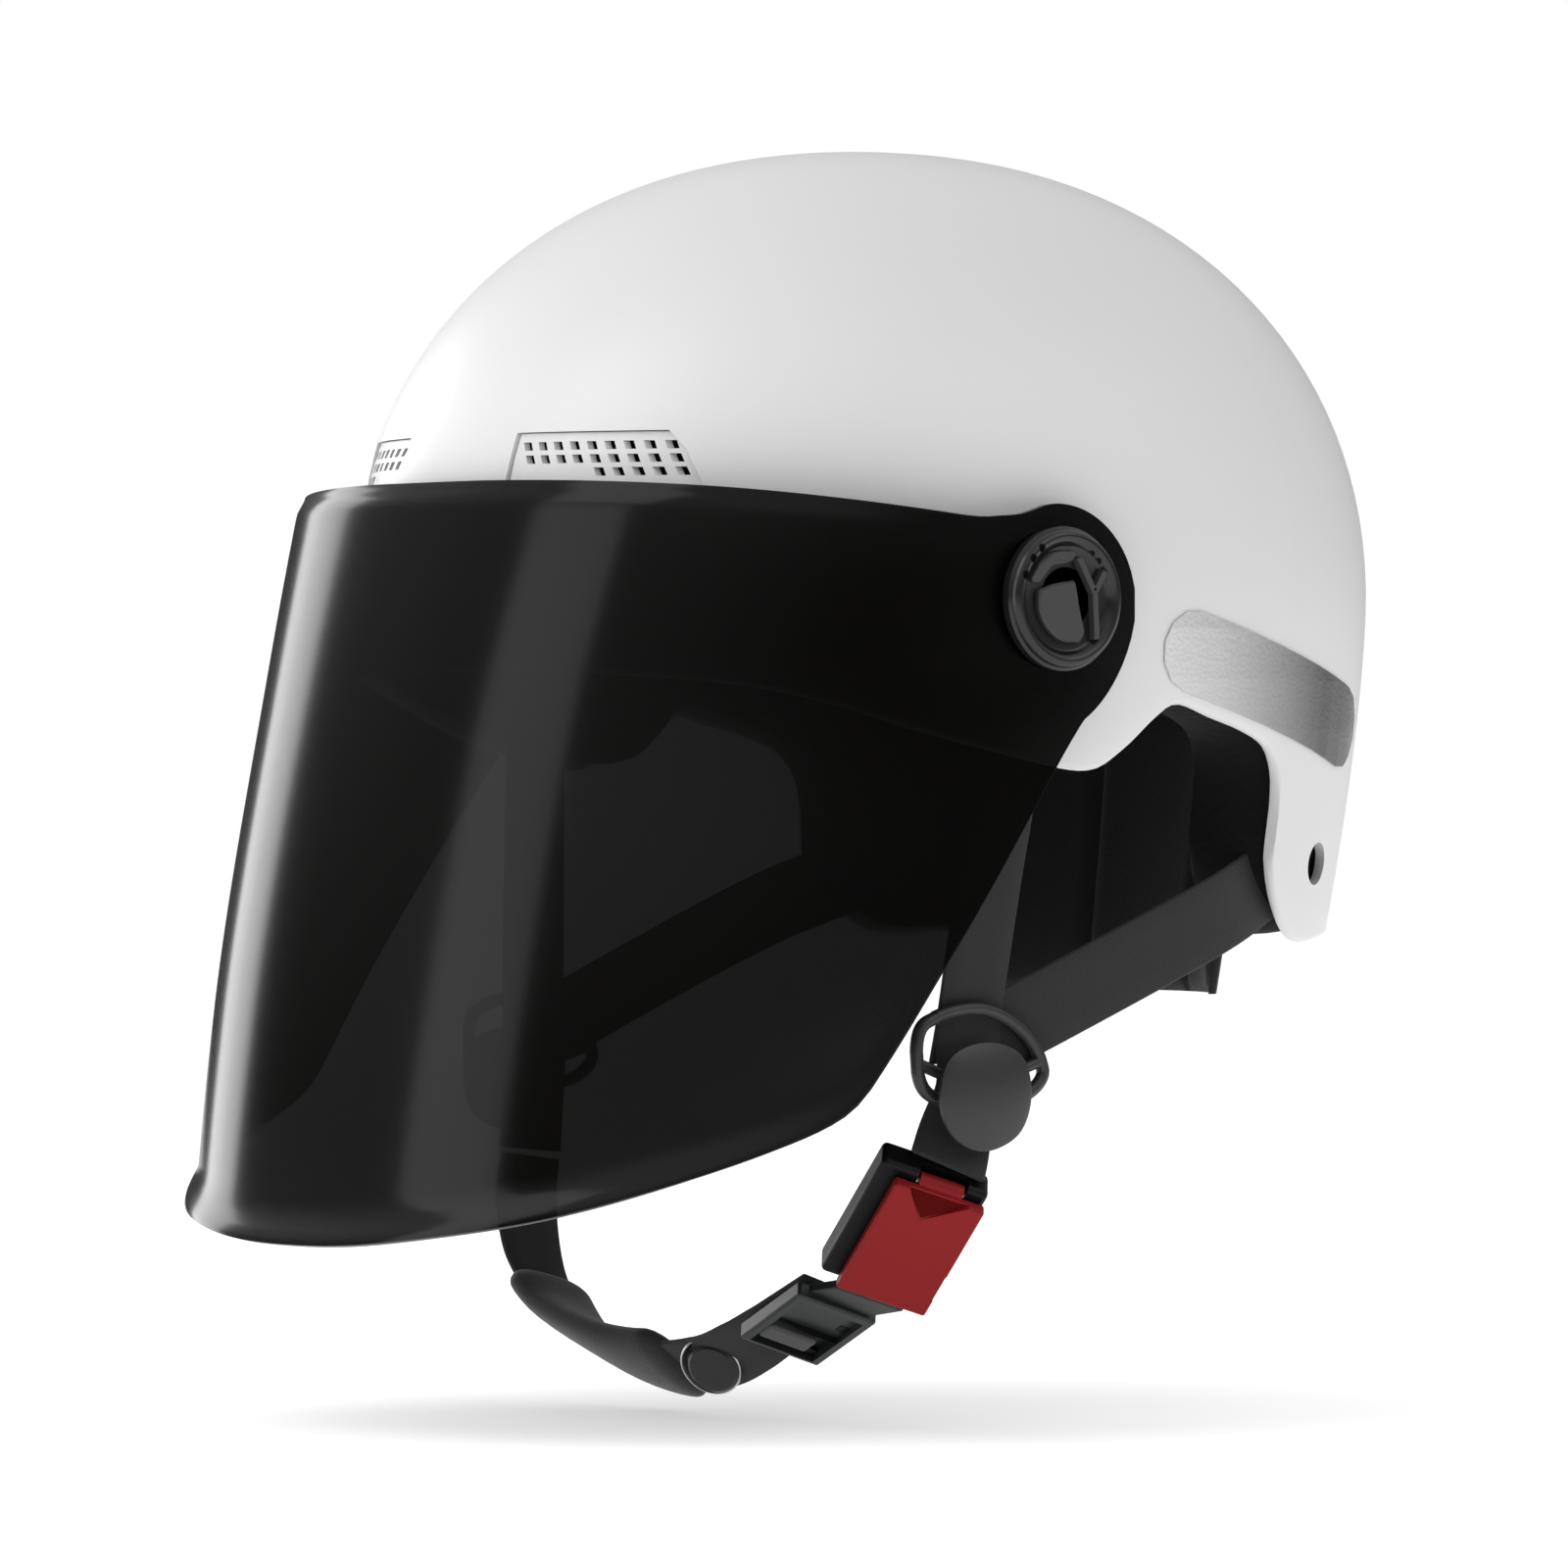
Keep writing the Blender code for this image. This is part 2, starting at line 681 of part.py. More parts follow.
def along_curve(stations, at):
    """Point and width direction on a smooth curve through the stations; at runs from 0 to 1."""
    spans = len(stations) - 1
    span = min(int(at * spans), spans - 1)
    t = at * spans - span
    ends = [stations[max(0, min(spans, span + i))] for i in (-1, 0, 1, 2)]
    weights = (
        (-t + 2 * t**2 - t**3) / 2,
        (2 - 5 * t**2 + 3 * t**3) / 2,
        (t + 4 * t**2 - 3 * t**3) / 2,
        (-(t**2) + t**3) / 2,
    )
    point = sum((Vector(end[0]) * w for end, w in zip(ends, weights)), Vector())
    wide = sum((Vector(end[1]) * w for end, w in zip(ends, weights)), Vector())
    return point, wide.normalized()


def ribbon(name, stations, finish, width=WEBBING_WIDTH, thickness=WEBBING_THICKNESS, steps=10):
    """A flat strap along the stations, each a (point, width direction)."""
    bm = bmesh.new()
    bmesh.ops.create_grid(bm, x_segments=1, y_segments=steps, size=1.0)
    for vertex in bm.verts:
        point, wide = along_curve(stations, (vertex.co.y + 1) / 2)
        vertex.co = point + wide * (width / 2 * vertex.co.x)
    strap = add_object(name, bm, finish)
    wall = strap.modifiers.new("thickness", "SOLIDIFY")
    wall.thickness = thickness
    wall.offset = 0.0
    return strap


def mirrored(stations, side):
    return [((side * p[0], p[1], p[2]), (side * w[0], w[1], w[2])) for p, w in stations]


# Stations of the left-hand webbing: (point, width direction)
FRONT_STRAP = [
    ((0.0985, -0.0315, -0.1000), (0.10, 0.995, 0.0)),
    ((0.0980, -0.0325, -0.1250), (0.08, 0.995, 0.0)),
    ((0.0945, -0.0355, -0.1550), (0.04, 0.995, -0.06)),
    ((0.0908, -0.0385, -0.1870), (0.0, 0.995, -0.08)),
]
REAR_STRAP = [
    ((0.0825, 0.0700, -0.1515), (0.08, -0.37, 0.92)),
    ((0.0885, 0.0560, -0.1570), (0.06, -0.37, 0.92)),
    ((0.0925, 0.0400, -0.1632), (0.03, -0.37, 0.93)),
    ((0.0928, 0.0120, -0.1746), (0.0, -0.38, 0.925)),
    ((0.0910, -0.0220, -0.1888), (0.0, -0.40, 0.915)),
]
BUCKLE_STRAP = [
    ((0.0905, -0.0385, -0.1895), (0.0, 1.0, 0.0)),
    ((0.0903, -0.0385, -0.2050), (0.0, 1.0, 0.0)),
    ((0.0912, -0.0425, -0.2150), (0.12, 0.98, -0.12)),
    ((0.0955, -0.0490, -0.2239), (0.39, 0.863, -0.32)),
]
YOKE_STRAP = [
    ((-0.0905, -0.0385, -0.1895), (0.0, 1.0, 0.0)),
    ((-0.0903, -0.0385, -0.2050), (0.0, 1.0, 0.0)),
    ((-0.0900, -0.0395, -0.2150), (0.0, 1.0, 0.0)),
    ((-0.0896, -0.0404, -0.2248), (0.0, 1.0, 0.0)),
]
CHIN_STRAP = [
    ((-0.0893, -0.0406, -0.2272), (0.0, 1.0, 0.0)),
    ((-0.0885, -0.0425, -0.2400), (0.08, 0.98, -0.15)),
    ((-0.0790, -0.0460, -0.2560), (0.10, 0.94, -0.32)),
    ((-0.0620, -0.0485, -0.2680), (0.10, 0.90, -0.43)),
    ((-0.0420, -0.0500, -0.2745), (0.07, 0.86, -0.51)),
    ((-0.0200, -0.0500, -0.2778), (0.04, 0.80, -0.60)),
    ((0.0010, -0.0500, -0.2768), (0.06, 0.74, -0.67)),
    ((0.0160, -0.0500, -0.2720), (0.12, 0.80, -0.58)),
    ((0.0285, -0.0485, -0.2655), (0.16, 0.90, -0.40)),
    ((0.0480, -0.0477, -0.2560), (0.163, 0.93, -0.33)),
]
SNAP_AT = 0.685
CHIN_PAD = [
    ((-0.0760, -0.0465, -0.2585), (0.10, 0.93, -0.35)),
    ((-0.0620, -0.0485, -0.2680), (0.10, 0.90, -0.43)),
    ((-0.0420, -0.0500, -0.2745), (0.07, 0.86, -0.51)),
    ((-0.0250, -0.0500, -0.2774), (0.05, 0.81, -0.58)),
    ((-0.0100, -0.0500, -0.2778), (0.05, 0.77, -0.63)),
]
YOKE_OUTLINE = [
    (-0.0590, -0.1990),
    (-0.0560, -0.1875),
    (-0.0380, -0.1835),
    (-0.0230, -0.1895),
    (-0.0153, -0.2010),
    (-0.0220, -0.2085),
    (-0.0370, -0.2105),
    (-0.0540, -0.2080),
]
TAB_OUTLINE = [
    (-0.0400, -0.1935),
    (-0.0290, -0.1970),
    (-0.0259, -0.2070),
    (-0.0300, -0.2165),
    (-0.0410, -0.2205),
    (-0.0510, -0.2165),
    (-0.0548, -0.2070),
    (-0.0515, -0.1970),
]


def shrunk(outline, by):
    """The outline moved in towards its middle by a distance."""
    middle = Vector((sum(p[0] for p in outline) / len(outline), sum(p[1] for p in outline) / len(outline)))
    points = []
    for p in outline:
        reach = Vector(p) - middle
        points.append(tuple(middle + reach * (1 - by / reach.length)))
    return points


# Each side strap: stations, the way its rivet faces, and the rivet's place from the first station
SIDE_STRAPS = {
    "front": (FRONT_STRAP, (1.0, 0.0, 0.0), (0.0, 0.0, -0.0060)),
    "rear": (REAR_STRAP, (0.9, 0.42, 0.0), (0.0015, -0.0060, -0.0023)),
}
STRAP_POCKET_WIDTH = WEBBING_WIDTH + 0.003
STRAP_POCKET_DEPTH = 0.0062
RIVET_RADIUS = 0.0026
RIVET_HOLE_RADIUS = 0.0030
RIVET_INWARD = 0.0016
RIVET_OUTWARD = 0.0021
YOKE_X = (0.0924, 0.0948)
YOKE_FRAME = 0.0024
TAB_X = (0.0988, 0.1010)


def make_side_strap(liner, end, side, word):
    """One riveted strap, with the pocket in the liner that its upper end lies in."""
    stations, facing, offset = SIDE_STRAPS[end]
    stations = mirrored(stations, side)
    strap = ribbon(f"{end}_strap_{word}", stations, webbing())
    pocket = ribbon(f"{end}_strap_pocket_{word}", stations, None, STRAP_POCKET_WIDTH, STRAP_POCKET_DEPTH, 8)
    boolean(liner, pocket)
    facing = Vector((side * facing[0], facing[1], facing[2])).normalized()
    spot = Vector(stations[0][0]) + Vector((side * offset[0], offset[1], offset[2]))
    inner, outer = spot - facing * RIVET_INWARD, spot + facing * RIVET_OUTWARD
    rod(f"{end}_rivet_{word}", inner, outer, RIVET_RADIUS, steel(), 14)
    start, stop = spot - facing * STRAP_POCKET_DEPTH, spot + facing * STRAP_POCKET_DEPTH
    boolean(strap, rod(f"{end}_rivet_hole_{word}", start, stop, RIVET_HOLE_RADIUS, None, 14))


def make_side_fittings(liner):
    """The two straps of each side, and the ring and the tab that join them below the ear."""
    for side, word in ((1, "left"), (-1, "right")):
        for end in SIDE_STRAPS:
            make_side_strap(liner, end, side, word)
        low, high = sorted(side * x for x in YOKE_X)
        ring = prism(f"yoke_ring_{word}", YOKE_OUTLINE, "X", low, high, True, black_plastic())
        inside = shrunk(YOKE_OUTLINE, YOKE_FRAME)
        boolean(ring, prism(f"yoke_opening_{word}", inside, "X", low - 0.002, high + 0.002, True))
        low, high = sorted(side * x for x in TAB_X)
        tab = prism(f"yoke_tab_{word}", TAB_OUTLINE, "X", low, high, True, black_plastic())
        rounded(tab, 0.0007, 1)


def rod(name, start, end, radius, finish, segments=16):
    """A round bar between two points."""
    start, end = Vector(start), Vector(end)
    bm = bmesh.new()
    turn = (end - start).to_track_quat("Z", "Y").to_matrix().to_4x4()
    bmesh.ops.create_cone(
        bm,
        cap_ends=True,
        segments=segments,
        radius1=radius,
        radius2=radius,
        depth=(end - start).length,
        matrix=Matrix.Translation((start + end) / 2) @ turn,
    )
    face_outward(bm)
    return add_object(name, bm, finish, origin=None if finish is None else (start + end) / 2)


# Buckle axes: along its length to the tongue, across its width, and out of its face
BUCKLE_CENTRE = Vector((0.0828, -0.0500, -0.2419))
BUCKLE_ALONG = Vector((-0.700, 0.050, -0.712)).normalized()
BUCKLE_ACROSS = Vector((0.390, 0.863, -0.320)).normalized()
BUCKLE_OUT = BUCKLE_ALONG.cross(BUCKLE_ACROSS).normalized()
BUCKLE_HALF_LENGTH = 0.0200
BUCKLE_WIDTH = 0.0240
HOUSING_THICKNESS = 0.0082
HOUSING_FLANK = 0.0045  # how much wider than the lever the housing is, towards the front
LEVER_THICKNESS = 0.0034
TONGUE_THICKNESS = 0.0018
TONGUE_DEPTH = 0.0070

# The ladder lock that the tongue ends in
LOCK_CENTRE = Vector((0.0404, -0.0495, -0.2647))
LOCK_ALONG = Vector((-0.897, 0.0, -0.443)).normalized()
LOCK_ACROSS = Vector((0.163, 0.930, -0.330)).normalized()
LOCK_OUT = LOCK_ALONG.cross(LOCK_ACROSS).normalized()


def axes(along, across, out):
    return Matrix((along, across, out)).transposed()


def buckle_spot(along, across, out):
    return BUCKLE_CENTRE + BUCKLE_ALONG * along + BUCKLE_ACROSS * across + BUCKLE_OUT * out


def lock_spot(along, across, out):
    return LOCK_CENTRE + LOCK_ALONG * along + LOCK_ACROSS * across + LOCK_OUT * out


# The lever turns on a pin near the upper end of the housing, given along and out of the buckle
PIN_ALONG = -BUCKLE_HALF_LENGTH + 0.0036
PIN_OUT = -0.0012
PIN_RADIUS = 0.0010
PIN_BORE_RADIUS = 0.0014
PIN_HALF_LENGTH = 0.0108
KNUCKLE_RADIUS = 0.0026
KNUCKLE_HALF_LENGTH = 0.0058
NOTCH_SIZE = (0.0124, 0.0130, 0.0086)
LEVER_SPAN = (-0.0178, 0.0202)
LEVER_LIFT = 0.0005
MOUTH_SIZE = (0.0180, 0.0196, 0.0066)
BLADE_OUT = -HOUSING_THICKNESS / 2 - 0.0009
BLADE_WIDTH = 0.0140
BLADE_REACH = 0.0075
NECK_SIZE = (0.0180, 0.0026)
LOCK_SIZE = (0.0270, 0.0235, 0.0030)
LOCK_SLOT_SIZE = (0.0050, 0.0195, 0.0080)
LOCK_SLOTS = (-0.0040, 0.0070)


def pin_rod(name, half_length, radius, finish, segments):
    """A bar on the pin's axis, across the buckle."""
    start, end = (buckle_spot(PIN_ALONG, side * half_length, PIN_OUT) for side in (-1, 1))
    return rod(name, start, end, radius, finish, segments)


def make_housing(turn):
    size = (2 * BUCKLE_HALF_LENGTH, BUCKLE_WIDTH + HOUSING_FLANK, HOUSING_THICKNESS)
    spot = buckle_spot(0, -HOUSING_FLANK / 2, -HOUSING_THICKNESS / 2)
    housing = box("buckle_housing", spot, size, black_plastic(), turn)
    rounded(housing, 0.0012, 1)
    mouth_spot = buckle_spot(BUCKLE_HALF_LENGTH - 0.0050, 0, -HOUSING_THICKNESS / 2 + 0.0008)
    boolean(housing, box("housing_mouth", mouth_spot, MOUTH_SIZE, None, turn))
    notch_spot = buckle_spot(PIN_ALONG - 0.0020, 0, PIN_OUT + 0.0010)
    boolean(housing, box("knuckle_notch", notch_spot, NOTCH_SIZE, None, turn))
    boolean(housing, pin_rod("pin_bore", BUCKLE_WIDTH / 2 - 0.0008, PIN_BORE_RADIUS, None, 14))
    pin_rod("lever_pin", PIN_HALF_LENGTH, PIN_RADIUS, steel(), 12)


def make_lever(turn):
    start, end = LEVER_SPAN
    spot = buckle_spot((start + end) / 2, 0, LEVER_LIFT + LEVER_THICKNESS / 2)
    lever = box("buckle_lever", spot, (end - start, BUCKLE_WIDTH, LEVER_THICKNESS), red_plastic(), turn)
    rounded(lever, 0.0008, 1)
    boolean(lever, pin_rod("lever_barrel", KNUCKLE_HALF_LENGTH, KNUCKLE_RADIUS, None, 18), "UNION")
    boolean(lever, pin_rod("lever_bore", 0.0090, PIN_BORE_RADIUS, None, 14))


def make_tongue(turn):
    """The blade that enters the housing, joined by a neck to the ladder lock that holds the strap."""
    lock_turn = axes(LOCK_ALONG, LOCK_ACROSS, LOCK_OUT)
    tongue = box("buckle_tongue", LOCK_CENTRE, LOCK_SIZE, frame_plastic(), lock_turn)
    start, end = BUCKLE_HALF_LENGTH - TONGUE_DEPTH, BUCKLE_HALF_LENGTH + BLADE_REACH
    blade_size = (end - start, BLADE_WIDTH, TONGUE_THICKNESS)
    blade = box("tongue_blade", buckle_spot((start + end) / 2, 0, BLADE_OUT), blade_size, None, turn)
    boolean(tongue, blade, "UNION")
    neck_from, neck_to = buckle_spot(end - 0.0008, 0, BLADE_OUT), lock_spot(-0.0120, 0, 0)
    along = (neck_to - neck_from).normalized()
    out = along.cross((BUCKLE_ACROSS + LOCK_ACROSS).normalized()).normalized()
    neck_size = ((neck_to - neck_from).length + 0.002, *NECK_SIZE)
    neck_turn = axes(along, out.cross(along), out)
    boolean(tongue, box("tongue_neck", (neck_from + neck_to) / 2, neck_size, None, neck_turn), "UNION")
    for index, place in enumerate(LOCK_SLOTS):
        boolean(tongue, box(f"lock_slot_{index}", lock_spot(place, 0, 0), LOCK_SLOT_SIZE, None, lock_turn))


def make_buckle():
    turn = axes(BUCKLE_ALONG, BUCKLE_ACROSS, BUCKLE_OUT)
    make_housing(turn)
    make_lever(turn)
    make_tongue(turn)


def make_chin_strap():
    ribbon("buckle_strap", BUCKLE_STRAP, webbing(), WEBBING_WIDTH, WEBBING_THICKNESS, 6)
    ribbon("yoke_strap", YOKE_STRAP, webbing(), WEBBING_WIDTH, WEBBING_THICKNESS, 4)
    ribbon("chin_strap", CHIN_STRAP, webbing(), WEBBING_WIDTH - 0.001, WEBBING_THICKNESS, 20)
    pad = ribbon("chin_pad", CHIN_PAD, comfort_fabric(), 0.0270, 0.0080, 12)
    rounded(pad, 0.0022, 2)
    tunnel = ribbon("pad_tunnel", CHIN_STRAP, None, WEBBING_WIDTH + 0.0004, WEBBING_THICKNESS + 0.0012, 20)
    boolean(pad, tunnel)
    spot, wide = along_curve(CHIN_STRAP, SNAP_AT)
    ahead, _ = along_curve(CHIN_STRAP, SNAP_AT + 0.01)
    out = wide.cross(ahead - spot).normalized()
    rod("snap_cap", spot + out * 0.0012, spot + out * 0.0040, 0.0068, black_plastic(), 24)
    rim = rod("snap_rim", spot + out * 0.0012, spot + out * 0.0026, 0.0079, steel(), 24)
    rim_hole = rod("snap_rim_hole", spot - out * 0.002, spot + out * 0.006, 0.0071, None, 24)
    boolean(rim, rim_hole)


def main():
    global PARTS, CUTTERS
    clear_scene()
    PARTS = new_collection("riding_helmet")
    CUTTERS = new_collection("cutters")
    make_shell()
    liner = make_liner()
    make_grilles()
    make_reflectors()
    make_pads()
    make_visor()
    make_pivots()
    make_side_fittings(liner)
    make_buckle()
    make_chin_strap()
    bpy.context.view_layer.update()


main()
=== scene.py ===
"""Visual model of the open-face riding helmet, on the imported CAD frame.

Metres, +Z up. The helmet faces -Y and the wearer's left is +X.
"""

import json
import math

import bmesh
import bpy
from mathutils import Matrix, Vector


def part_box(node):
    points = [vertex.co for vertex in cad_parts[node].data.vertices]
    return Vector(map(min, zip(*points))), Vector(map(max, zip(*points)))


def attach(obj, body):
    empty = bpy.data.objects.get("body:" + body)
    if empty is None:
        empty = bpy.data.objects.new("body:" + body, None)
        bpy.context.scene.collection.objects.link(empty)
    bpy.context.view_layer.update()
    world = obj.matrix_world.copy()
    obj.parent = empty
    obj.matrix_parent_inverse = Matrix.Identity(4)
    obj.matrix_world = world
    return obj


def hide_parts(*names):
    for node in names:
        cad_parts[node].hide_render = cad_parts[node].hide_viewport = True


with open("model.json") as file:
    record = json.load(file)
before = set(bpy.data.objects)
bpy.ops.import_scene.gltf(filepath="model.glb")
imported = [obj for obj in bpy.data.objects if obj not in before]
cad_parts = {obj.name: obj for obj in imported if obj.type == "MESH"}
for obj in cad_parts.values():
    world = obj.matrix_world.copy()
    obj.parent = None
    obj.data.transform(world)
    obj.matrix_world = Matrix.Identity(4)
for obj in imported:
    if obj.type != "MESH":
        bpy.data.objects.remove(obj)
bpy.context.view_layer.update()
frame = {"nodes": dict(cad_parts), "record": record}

NODES = frame["nodes"]

# ---------------------------------------------------------------- measures shared with the CAD

SHELL_HALF_WIDTH = 0.1115
SHELL_HALF_LENGTH = 0.136
SHELL_CROWN = 0.033
WIDEST_LEVEL = -0.082
SKIRT_DEPTH = 0.098
SKIRT_TUCK = 0.064
SKIRT_TUCK_DEPTH = 0.073
SHELL_WALL = 0.003
LIP_RADIUS = 0.0035
PLAN_POWER = 2.2
DOME_POWER = 2.1
LINER_DEPTH = 0.0039
LINER_WALL = 0.0220
LINER_EDGE_LIFT = 0.002
PAD_DEPTH = 0.0271
PAD_THICKNESS = 0.0058
PIVOT = Vector((0.0, -0.033, -0.084))
EAR_RADIUS = 0.025
VISOR_WALL = 0.002
VISOR_TOP = -0.0585
VISOR_POWER = 2.4
EAR_X = 0.118
LOWER_EDGE = [
    (-0.160, -0.100),
    (-0.130, -0.102),
    (-0.095, -0.1065),
    (-0.060, -0.117),
    (-0.030, -0.1242),
    (-0.0130, -0.1262),
    (-0.0030, -0.1212),
    (0.0070, -0.1132),
    (0.0145, -0.1097),
    (0.0268, -0.1130),
    (0.0400, -0.1165),
    (0.0500, -0.1207),
    (0.0550, -0.1280),
    (0.0561, -0.1385),
    (0.0552, -0.1475),
    (0.0590, -0.1580),
    (0.0670, -0.1668),
    (0.0760, -0.1700),
    (0.0950, -0.1690),
    (0.1600, -0.1650),
]
SIDES = ((1, "left"), (-1, "right"))

# ---------------------------------------------------------------- materials


def srgb(*levels):
    """Linear colour of three 0 to 255 sRGB levels."""
    linear = []
    for level in levels:
        c = level / 255
        linear.append(c / 12.92 if c <= 0.04045 else ((c + 0.055) / 1.055) ** 2.4)
    return (*linear, 1.0)


def new_material(name, colour, roughness, **extra):
    made = bpy.data.materials.new(name)
    made.use_nodes = True
    shader = made.node_tree.nodes["Principled BSDF"]
    shader.inputs["Base Color"].default_value = colour
    shader.inputs["Roughness"].default_value = roughness
    for key, value in extra.items():
        shader.inputs[key.replace("_", " ")].default_value = value
    return made


def add_node(tree, kind, **inputs):
    """A new shader node; each input is a plain value or another node's output."""
    node = tree.nodes.new("ShaderNode" + kind)
    for key, value in inputs.items():
        socket = node.inputs[key.replace("_", " ")]
        if isinstance(value, bpy.types.NodeSocket):
            tree.links.new(value, socket)
        else:
            socket.default_value = value
    return node


def noise(tree, scale, detail):
    place = add_node(tree, "TexCoord").outputs["Object"]
    return add_node(tree, "TexNoise", Vector=place, Scale=scale, Detail=detail).outputs["Fac"]


def add_bump(made, height, strength, distance):
    tree = made.node_tree
    bump = add_node(tree, "Bump", Strength=strength, Distance=distance, Height=height)
    tree.links.new(bump.outputs["Normal"], tree.nodes["Principled BSDF"].inputs["Normal"])


def vary(made, fac, low, high):
    """Drives the base colour between two colours with a 0 to 1 pattern."""
    tree = made.node_tree
    ramp = add_node(tree, "ValToRGB", Fac=fac)
    ramp.color_ramp.elements[0].color = low
    ramp.color_ramp.elements[1].color = high
    tree.links.new(ramp.outputs["Color"], tree.nodes["Principled BSDF"].inputs["Base Color"])
    return ramp


def plastic(name, colour, roughness, grain=0.04, specular=0.5):
    made = new_material(name, colour, roughness, Specular_IOR_Level=specular)
    add_bump(made, noise(made.node_tree, 900.0, 3.0), grain, 0.0003)
    return made


def shell_paint():
    made = new_material("shell_white", srgb(230, 230, 230), 0.42, Coat_Weight=0.15, Coat_Roughness=0.3)
    vary(made, noise(made.node_tree, 14.0, 2.0), srgb(229, 229, 229), srgb(232, 232, 232))
    return made


def bead_foam():
    made = new_material("bead_foam", srgb(11, 11, 11), 0.85, Specular_IOR_Level=0.25)
    tree = made.node_tree
    place = add_node(tree, "TexCoord").outputs["Object"]
    cells = add_node(tree, "TexVoronoi", Vector=place, Scale=260.0)
    cells.feature = "DISTANCE_TO_EDGE"
    add_bump(made, cells.outputs["Distance"], 0.6, 0.0006)
    return made


def math_node(tree, operation, first, second=None):
    """One Math node; each input is a number or another node's output."""
    node = tree.nodes.new("ShaderNodeMath")
    node.operation = operation
    for socket, value in zip(node.inputs, (first, second)):
        if isinstance(value, (int, float)):
            socket.default_value = value
        elif value is not None:
            tree.links.new(value, socket)
    return node.outputs[0]


def weave(name, colour, pitch, strength):
    """Cloth whose threads run along the piece's own UV directions, pitch threads to a metre."""
    made = new_material(name, colour, 0.9, Sheen_Weight=0.12)
    tree = made.node_tree
    place = add_node(tree, "TexCoord").outputs["UV"]
    mapping = add_node(tree, "Mapping", Vector=place, Scale=(pitch, pitch, 1.0))
    split = add_node(tree, "SeparateXYZ", Vector=mapping.outputs["Vector"])
    wave_u = math_node(tree, "SINE", math_node(tree, "MULTIPLY", split.outputs["X"], 2 * math.pi))
    slant = math_node(tree, "MULTIPLY", split.outputs["X"], 0.5)
    diagonal = math_node(tree, "ADD", split.outputs["Y"], slant)
    wave_v = math_node(tree, "SINE", math_node(tree, "MULTIPLY", diagonal, 2 * math.pi))
    both = math_node(tree, "MULTIPLY", math_node(tree, "ADD", wave_u, wave_v), 0.25)
    height = math_node(tree, "ADD", both, 0.5)
    add_bump(made, height, strength, 0.0004)
    dark = tuple(c * 0.88 for c in colour[:3]) + (1.0,)
    light = tuple(min(1.0, c * 1.05) for c in colour[:3]) + (1.0,)
    vary(made, height, dark, light)
    return made


def comfort_cloth(name, colour, sheen):
    made = new_material(name, colour, 0.95, Sheen_Weight=sheen, Sheen_Roughness=0.4)
    add_bump(made, noise(made.node_tree, 1600.0, 4.0), 0.5, 0.0005)
    return made


def reflective_film():
    """Grey film that darkens towards the back of the helmet, with a fine prism pattern."""
    made = new_material("reflective_film", srgb(150, 150, 150), 0.32, Metallic=0.35)
    tree = made.node_tree
    place = add_node(tree, "TexCoord").outputs["Object"]
    split = add_node(tree, "SeparateXYZ", Vector=place)
    ranged = add_node(tree, "MapRange", Value=split.outputs["Y"], From_Min=0.010, From_Max=0.098)
    ramp = vary(made, ranged.outputs["Result"], srgb(222, 222, 222), srgb(125, 125, 125))
    stops = ((0.20, (203, 203, 203)), (0.42, (165, 165, 165)), (0.72, (84, 84, 85)), (0.90, (80, 80, 81)))
    for position, levels in stops:
        ramp.color_ramp.elements.new(position).color = srgb(*levels)
    cells = add_node(tree, "TexVoronoi", Vector=place, Scale=900.0)
    add_bump(made, cells.outputs["Distance"], 0.15, 0.0003)
    return made


def smoked_sheet():
    made = new_material("smoked_sheet", srgb(6, 5, 4), 0.16, IOR=1.45, Alpha=0.915, Specular_IOR_Level=0.22)
    made.surface_render_method = "DITHERED"
    return made


WHITE = shell_paint()
FOAM = bead_foam()
CLOTH = comfort_cloth("comfort_cloth", srgb(48, 47, 48), 0.3)
FILM = reflective_film()
SMOKED = smoked_sheet()
BLACK = plastic("satin_black", srgb(44, 44, 44), 0.38)
DEEP_BLACK = plastic("deep_black", srgb(8, 8, 9), 0.42, specular=0.2)
KNOB_BLACK = plastic("knob_black", srgb(24, 24, 25), 0.26, 0.01)
KNOB_GREY = plastic("knob_grey", srgb(62, 60, 61), 0.45, 0.02)
BAR_GREY = plastic("bar_grey", srgb(66, 66, 66), 0.45)
PAD_CLOTH = comfort_cloth("pad_cloth", srgb(16, 16, 17), 0.1)
DARK_FRAME = plastic("frame_black", srgb(34, 38, 37), 0.42)
RED = plastic("buckle_red", srgb(143, 24, 27), 0.42, specular=0.18)
# Darker copy of the buckle red: painted shade for the floor of the lever's sunk thumb facet
RED_PAINTED_SHADE = plastic("buckle_red_painted_shade", srgb(88, 6, 5), 0.5, specular=0.05)
SNAP_BLACK = plastic("snap_black", srgb(32, 32, 35), 0.30)
STEEL = new_material("plated_steel", srgb(200, 200, 202), 0.22, Metallic=1.0)
WEBBING = weave("polyester_webbing", srgb(41, 40, 40), 900.0, 0.15)

SLOT_LOOK = {
    "white_gloss": WHITE,
    "foam": FOAM,
    "comfort_fabric": CLOTH,
    "reflective_film": FILM,
    "smoked_polycarbonate": SMOKED,
    "black_plastic": BLACK,
    "frame_plastic": DARK_FRAME,
    "red_plastic": RED,
    "steel": STEEL,
    "webbing": WEBBING,
}


def dress_nodes():
    """Gives every CAD node the finish of its material slot."""
    for row in frame["record"]["subparts"]:
        mesh = NODES[row["node"]].data
        mesh.materials.clear()
        mesh.materials.append(SLOT_LOOK[row["material_slot"]])


# ---------------------------------------------------------------- mesh helpers

SHARP_ANGLE = 38.0


def place_mesh(name, bm):
    """A new object in the scene with the bmesh as its mesh."""
    bm.normal_update()
    mesh = bpy.data.meshes.new(name)
    bm.to_mesh(mesh)
    bm.free()
    obj = bpy.data.objects.new(name, mesh)
    bpy.context.scene.collection.objects.link(obj)
    return obj


